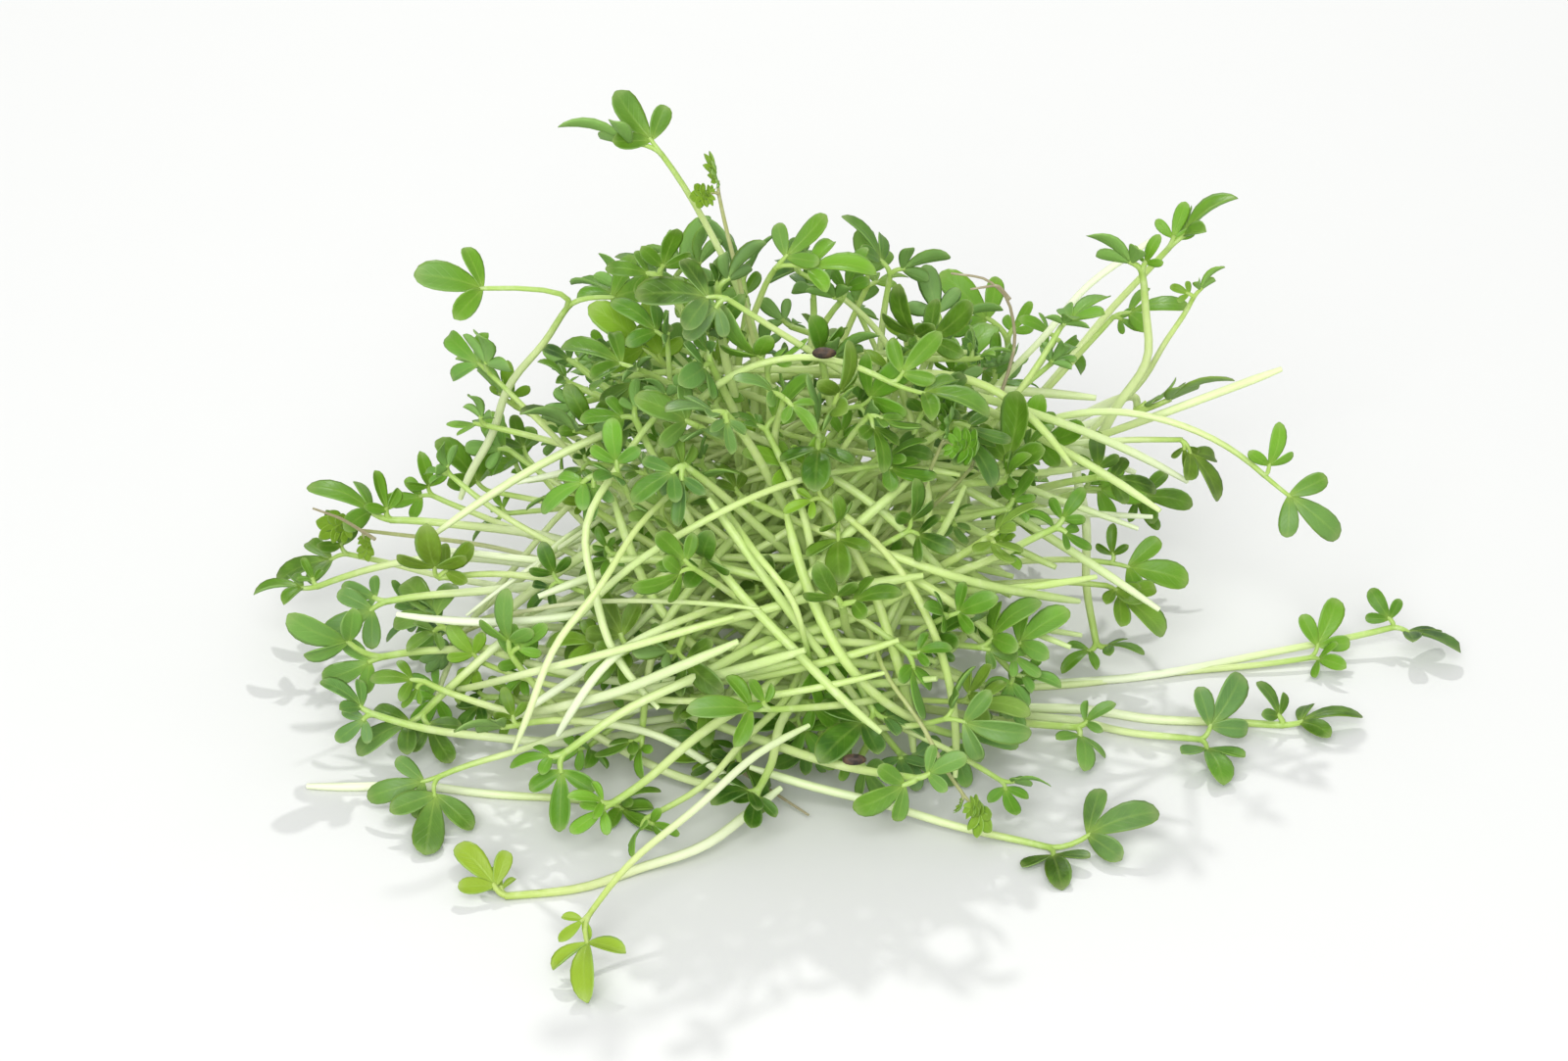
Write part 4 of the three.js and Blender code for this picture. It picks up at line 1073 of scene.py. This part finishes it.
# A stem's radius in millimetres, and as shares of it: at the foot, its swell, its taper and the
# first two rings of its cut end
STEM_RADIUS = 0.48
STEM_RADIUS_VARIETY = 0.24
TOOTHED_STEM_RADIUS = 0.36
STEM_AT_FOOT = 0.88
STEM_SWELL = 0.44
STEM_TAPER = 0.22
CUT_END = (0.62, 0.86)

# How far a stem waves to its sides, and how often along it
WAVE = 0.6
WAVE_TURNS = 1.2
WAVE_LEAN = np.array([0.3, 0.2, 1.0])

# A leaf stalk's radius as shares of its stem's, where it starts inside the stem, and how far it
# goes on along the stem's own direction and into the leaf
STALK_AT_STEM = 0.64
STALK_TAPER = 0.14
STALK_ROOT = 0.6
STALK_FLOW = 0.4

# How the colour of sprouts and of their leaves varies, and the share of the added sprouts that have
# toothed leaves
YELLOW_LEAST = 0.55
YELLOW_VARIETY = 0.45
LEAF_TONE_VARIETY = 0.6
TOOTHED_YELLOWING = 0.6
TOOTHED_BLUSH = 0.55
TOOTHED_CHANCE = 0.08


def waved_stem(foot, sprout, share, draw):
    """Points of a sprout's stem, which waves a little to its sides."""
    control = stem_control(foot, sprout["bend"], sprout["crown"])
    points = curve_points(foot, control, sprout["crown"], share)
    sideways = unit(cross(sprout["crown"] - foot, WAVE_LEAN))
    turns = share * (WAVE_TURNS + draw()) + draw()
    wave = WAVE * np.sin(2 * np.pi * turns) * share * (1 - share) * 4
    return points + sideways * wave[:, None]


def add_sprout(bundle, foot, sprout, key, draw):
    """One sprout's stem, the stalks of its leaves and its leaves, with a little variety."""
    yellow = draw()
    yellowing = (YELLOW_LEAST + YELLOW_VARIETY * yellow if key in YELLOW
                 else YELLOW_VARIETY * yellow ** 3)
    tone = draw()
    share = np.linspace(0, 1, STEM_RINGS)
    points = waved_stem(foot, sprout, share, draw)
    toothed = key in TOOTHED or (key == "fill" and draw() < TOOTHED_CHANCE)
    thick = TOOTHED_STEM_RADIUS if toothed else STEM_RADIUS + STEM_RADIUS_VARIETY * draw()
    blush = TOOTHED_BLUSH * share if toothed else 0 * share
    radius = thick * (STEM_AT_FOOT + STEM_SWELL * share * (1 - share) - STEM_TAPER * share)
    radius[:2] *= CUT_END
    points[:, 2] = np.maximum(points[:, 2], radius)
    bundle.add_line(points, radius, share, tone, yellowing, blush)
    flow = unit(points[-1] - points[-2])
    steps = np.linspace(0, 1, STALK_RINGS)
    for leaf in leaf_pair(sprout):
        stalk = curve_points(sprout["crown"] - flow * STALK_ROOT,
                             sprout["crown"] + flow * STALK_FLOW * leaf.stalk,
                             leaf.joint + leaf.along * STALK_FLOW, steps)
        stalk_radius = thick * (STALK_AT_STEM - STALK_TAPER * steps)
        stalk[:, 2] = np.maximum(stalk[:, 2], stalk_radius)
        bundle.add_line(stalk, stalk_radius, 1.0, tone, yellowing, blush[-1])
        shape = TOOTHED_SHAPE if toothed else math.floor(draw() * TOOTHED_SHAPE)
        leaf_tone = tone + LEAF_TONE_VARIETY * (draw() - 0.5)
        bundle.add_leaf(leaf, shape, min(max(leaf_tone, 0), 1),
                        yellowing * (TOOTHED_YELLOWING if toothed else 1))


heap_layout = lay_out()
for index, (key, bunch) in enumerate(heap_layout):
    draw = draw_from(LOOKS_SEED + index)
    bundle = Bundle()
    for sprout in bunch["sprouts"]:
        add_sprout(bundle, bunch["foot"], sprout, key, draw)
    piece = bundle.piece(f"sprouts_{key}")
    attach(piece, "root")
    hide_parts(f"cress_{key}")
    "cress_yellow" if key in YELLOW else "cress_green"

# Facets, girth and ribs of a husk, how much its end is pinched, and how much of its solid's length
# it has
HUSK_RINGS = 15
HUSK_SIDES = 20
HUSK_RING_INSET = 0.3
HUSK_LENGTH_SHARE = 0.98
HUSK_GIRTH = 0.93
HUSK_GIRTH_VARIETY = 0.02
HUSK_RIBS = 5
HUSK_RIB_HEIGHT = 0.05
HUSK_PINCH = 0.15


def husk_piece(name, middle, draw):
    """A dark seed husk: a small ribbed ellipsoid with one end pinched."""
    share = ring_shares(HUSK_RINGS, HUSK_RING_INSET)
    turn = 2 * np.pi * np.arange(HUSK_SIDES) / HUSK_SIDES
    grid_share, grid_turn = np.meshgrid(share, turn, indexing="ij")
    ribs = HUSK_GIRTH + HUSK_RIB_HEIGHT * np.cos(grid_turn * HUSK_RIBS)
    ribs = ribs + HUSK_GIRTH_VARIETY * draw()
    girth = HUSK_HALF_WIDTH * 2 * np.sqrt(grid_share * (1 - grid_share))
    radius = girth * ribs * (1 - HUSK_PINCH * grid_share)
    points = np.stack([(2 * grid_share - 1) * HUSK_HALF_LENGTH * HUSK_LENGTH_SHARE,
                       radius * np.cos(grid_turn), radius * np.sin(grid_turn)], -1).reshape(-1, 3)
    mesh = new_mesh(name, (points + middle - HEAP_MIDDLE) * MM, closed_tube(HUSK_RINGS, HUSK_SIDES))
    mesh.shade_smooth()
    mesh.materials.append(husk_skin)
    made = bpy.data.objects.new(name, mesh)
    bpy.context.scene.collection.objects.link(made)
    return made


for index, (name, home) in enumerate(HUSKS):
    draw = draw_from(HUSK_SEED + index)
    husk = husk_piece(f"{name}_fine", place_husk(home, draw), draw)
    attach(husk, "root")
    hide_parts(name)


# Sprouts between the bunches fill the heap. Each group has a name, a number of sprouts, the ranges
# of x and z of its crowns on the heap's dome, the dome's side (-1 front, 1 back, 0 either), how far
# out towards the dome its crowns are, the reach of its leaves from the crown, and the ranges of x,
# y and z of its feet, in millimetres.
FILLS = [
  ("top", 11, (-22, 14), (40, 48), 0, (0.7, 1), (6.5, 10.5), (-8, 12), (-6, 12), (12, 24)),
  ("cap", 7, (-18, 7), (46, 50.5), 0, (0.1, 1), (6.5, 10.5), (-12, 12), (-10, 12), (10, 20)),
  ("face", 7, (-26, 28), (28, 43), -1, (0.8, 1), (5.5, 9), (-8, 14), (-12, 8), (4, 14)),
  ("band", 8, (-44, -30), (3, 16), -1, (0.85, 1), (4.5, 7.5), (-8, 22), (-43, -34), (14, 31)),
  ("left", 6, (-46, -26), (6, 30), 0, (0.7, 1), (4, 6.5), (-6, 18), (-30, 4), (6, 30)),
  ("right", 3, (26, 42), (8, 30), 0, (0.7, 1), (4, 7), (-16, 6), (-36, -12), (6, 30)),
  ("low", 22, (-26, 30), (3, 20), -1, (0.8, 1), (5.5, 9.5), (-14, 18), (-28, -8), (18, 36)),
  ("cross_right", 13, (2, 32), (16, 40), 0, (0.2, 0.75), (3.8, 6), (-42, -8), (-36, 0), (3, 26)),
  ("cross_left", 17, (-28, -4), (20, 38), 0, (0.2, 0.75), (3.8, 6), (8, 38), (-30, -8), (4, 24)),
  ("spokes_right", 20, (-26, 2), (14, 42), 0, (0.1, 0.7), (3.8, 6), (22, 48), (-26, 16), (3, 36)),
  ("spokes_left", 13, (-6, 24), (12, 42), 0, (0.1, 0.7), (3.8, 6), (-46, -22), (-22, 14), (3, 24)),
  ("upright", 9, (-18, 20), (36, 46), -1, (0.5, 0.95), (5.5, 9), (-30, 24), (-40, -24), (2, 18)),
  ("inner", 14, (-22, 22), (24, 42), 0, (0.1, 0.6), (3.8, 6), (-34, 34), (-20, 16), (2, 22)),
  ("back", 26, (-38, 38), (8, 44), 1, (0.7, 1), (5.5, 9), (-12, 12), (-6, 8), (4, 16)),
  ("floor", 5, (-34, 38), (1, 4), 0, (0.8, 1), (6, 9), (-16, 16), (-20, 14), (1, 8)),
]
FILL_DOME = np.array([48.0, 37.0, 56.0])
FILL_DOME_LEAST = 0.02
FILL_FRONT_SHARE = 0.6

# Each sprout is the best of some draws, is bent clear in a few tries, and goes into a piece with
# others
FILL_PICKS = 14
FILL_TRIES = 50
FILL_ROOM = 1.2
FILL_PIECE = 9
FILL_SEED = 500
FILL_LOOKS_SEED = 2000
FILL_LOOKS_STEP = 100

# How its stem bows out and its two leaves spread, face and are cupped
FILL_BOW_LEAST = 2
FILL_BOW_VARIETY = 5
FILL_BEND_NUDGE = 4
FILL_BEND_LOWEST = 1
FILL_OUTWARD_LEAN = 0.7
FILL_OUTWARD_NUDGE = 0.35
FILL_AXIS_LIFT = np.array([0, 0, 0.4])
FILL_AXIS_NUDGE = 0.5
FILL_LEAF_SPREAD = (0.45, 1.05)
FILL_LEAF_LOWEST = LEAF_LYING_HEIGHT + 0.5
FILL_FACING_LEAN = 0.6
FILL_FACING_UP = 0.8
FILL_FACING_OUT = 0.15
FILL_FACING_NUDGE = 0.55
FILL_CUP_LEAST = -0.02
FILL_CUP_VARIETY = 0.07

ORIGIN = np.zeros(3)


def between(span, draw):
    return span[0] + (span[1] - span[0]) * draw()


def turned_from(direction, axis, angle):
    """A direction turned by an angle about an axis at a right angle to it."""
    return direction * math.cos(angle) + cross(axis, direction) * math.sin(angle)


def fill_home(group, draw):
    """One sprout of a group, before it is bent clear of the others."""
    _, _, crown_x, crown_z, side, outer, reach, *foot_box = group
    x, z = between(crown_x, draw), between(crown_z, draw)
    depth = 1 - (x / FILL_DOME[0]) ** 2 - (z / FILL_DOME[2]) ** 2
    depth = math.sqrt(max(depth, FILL_DOME_LEAST))
    way = side or (-1 if draw() < FILL_FRONT_SHARE else 1)
    crown = np.array([x, way * FILL_DOME[1] * depth * between(outer, draw), z])
    foot = np.array([between(span, draw) for span in foot_box])
    normal = unit(crown / FILL_DOME ** 2)
    bow = normal * (FILL_BOW_LEAST + FILL_BOW_VARIETY * draw())
    bend = (foot + crown) * 0.5 + bow + nudge(ORIGIN, FILL_BEND_NUDGE, draw)
    bend[2] = max(bend[2], FILL_BEND_LOWEST)
    outward = unit(crown - bend) + normal * FILL_OUTWARD_LEAN
    outward = unit(outward + nudge(ORIGIN, FILL_OUTWARD_NUDGE, draw))
    leaning = unit(nudge(normal + FILL_AXIS_LIFT, FILL_AXIS_NUDGE, draw))
    axis = unit(cross(outward, unit(cross(outward, leaning))))
    tips = []
    for sign in (-1, 1):
        way_out = turned_from(outward, axis, sign * between(FILL_LEAF_SPREAD, draw))
        tips.append(crown + way_out * between(reach, draw))
        tips[-1][2] = max(tips[-1][2], FILL_LEAF_LOWEST)
    facing = unit(normal * FILL_FACING_LEAN + np.array([0, way * FILL_FACING_OUT, FILL_FACING_UP]))
    sprout = {"bend": bend, "crown": crown, "tips": tips,
              "facings": [unit(nudge(facing, FILL_FACING_NUDGE, draw)) for _ in tips],
              "cups": [FILL_CUP_VARIETY * draw() + FILL_CUP_LEAST for _ in tips]}
    return {"foot": whole_foot(foot, sprout), "sprouts": [sprout]}


def place_fills():
    """The groups' sprouts, each picked from several draws as the one least in the way."""
    taken[:] = False
    for _, bunch in heap_layout:
        take_room(measure(bunch)[1], FILL_ROOM)
    placed = []
    for number, group in enumerate(FILLS):
        draw = draw_from(FILL_SEED + number)
        sprouts = []
        for _ in range(group[1]):
            homes = [fill_home(group, draw) for _ in range(FILL_PICKS)]
            best = min(homes, key=lambda home: measure(home)[0])
            sprouts.append(place_bunch(best, draw, FILL_TRIES, FILL_ROOM))
        placed.append((group[0], sprouts))
    return placed


for number, (name, sprouts) in enumerate(place_fills()):
    for first in range(0, len(sprouts), FILL_PIECE):
        draw = draw_from(FILL_LOOKS_SEED + FILL_LOOKS_STEP * number + first)
        bundle = Bundle()
        for fill in sprouts[first:first + FILL_PIECE]:
            add_sprout(bundle, fill["foot"], fill["sprouts"][0], "fill", draw)
        piece = bundle.piece(f"fill_{name}_{first // FILL_PIECE + 1}")
        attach(piece, "root")

# Thin withered threads that stick out of the heap, each as the points that it passes, in
# millimetres
WITHERED = (
    ((27, 4, 34), (29.5, 7, 41), (28.5, 8, 47), (25.5, 8, 50), (21, 8, 50.6)),
    ((28.5, 8, 47), (27, 8, 49), (23.5, 8, 48.4)),
    ((-52, -2, 18), (-56, -3, 21.5), (-59.5, -4, 23.5)),
    ((-5, -33, 2), (-1, -37, 1.4), (3, -41, 0.8)),
)
THREAD_POINTS = 14
THREAD_RADIUS = 0.26
THREAD_TAPER = 0.12
THREAD_TONE = 0.5
THREAD_BLUSH = 0.9

threads = Bundle()
share = np.linspace(0, 1, THREAD_POINTS)
for corners in WITHERED:
    corners = np.array(corners, float)
    corner_share = np.linspace(0, 1, len(corners))
    line = np.stack([np.interp(share, corner_share, corners[:, axis]) for axis in range(3)], -1)
    line[1:-1] = (line[:-2] + 2 * line[1:-1] + line[2:]) / 4
    threads.add_line(line, THREAD_RADIUS - THREAD_TAPER * share, 1.0, THREAD_TONE, 0, THREAD_BLUSH)
withered = threads.piece("withered_threads")
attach(withered, "root")

# The leaf shapes themselves were only patterns
for shape in list(leaf_shapes.objects):
    bpy.data.objects.remove(shape)
bpy.data.collections.remove(leaf_shapes)

# The surface
FLOOR_REACH = 4
FLOOR_CORNERS = ((-1, -1), (1, -1), (1, 1), (-1, 1))
floor_points = [(x * FLOOR_REACH, y * FLOOR_REACH, 0) for x, y in FLOOR_CORNERS]
floor_mesh = new_mesh("floor", floor_points, [(0, 1, 2, 3)])
floor_mesh.materials.append(floor_skin)
floor = bpy.data.objects.new("floor", floor_mesh)
bpy.context.scene.collection.objects.link(floor)


def lamp(name, place, aim, size, power, colour):
    """A round soft lamp at a place, turned to what it is aimed at."""
    light = bpy.data.lights.new(name, "AREA")
    light.shape = "DISK"
    light.size = size
    light.energy = power
    light.color = colour
    holder = bpy.data.objects.new(name, light)
    holder.location = place
    holder.rotation_euler = (Vector(aim) - Vector(place)).to_track_quat("-Z", "Y").to_euler()
    bpy.context.scene.collection.objects.link(holder)


# A small lamp behind the heap throws the clear shadows towards the camera, and a wide one in front
# and the white room fill them
lamp("back_light", place=(-0.03, 0.78, 0.78), aim=(0, 0, 0.02), size=0.035, power=4.6,
     colour=(1.0, 0.995, 0.98))
lamp("front_fill", place=(-0.12, -1.1, 0.8), aim=(0, 0, 0.03), size=1.1, power=22.0,
     colour=(1.0, 1.0, 1.0))

ROOM_LIGHT = 0.75
world = bpy.data.worlds.new("white_room")
world.use_nodes = True
background = world.node_tree.nodes["Background"]
background.inputs["Color"].default_value = (1.0, 1.0, 1.0, 1.0)
background.inputs["Strength"].default_value = ROOM_LIGHT
bpy.context.scene.world = world
bpy.context.scene.view_settings.view_transform = "Standard"

# The camera, in metres, with its lens in millimetres
CAMERA_ELEVATION = math.radians(28)
CAMERA_DISTANCE = 0.6
CAMERA_AIM_HEIGHT = 0.0182
CAMERA_LENS = 108
aim = Vector((-HEAP_MIDDLE[0] * MM, -HEAP_MIDDLE[1] * MM, CAMERA_AIM_HEIGHT))
away = Vector((0, -math.cos(CAMERA_ELEVATION), math.sin(CAMERA_ELEVATION)))
lens = bpy.data.cameras.new("camera")
lens.lens = CAMERA_LENS
lens.sensor_width = 36
lens.clip_start = 0.01
camera = bpy.data.objects.new("camera", lens)
camera.location = aim + away * CAMERA_DISTANCE
camera.rotation_euler = (-away).to_track_quat("-Z", "Y").to_euler()
bpy.context.scene.collection.objects.link(camera)
bpy.context.scene.camera = camera
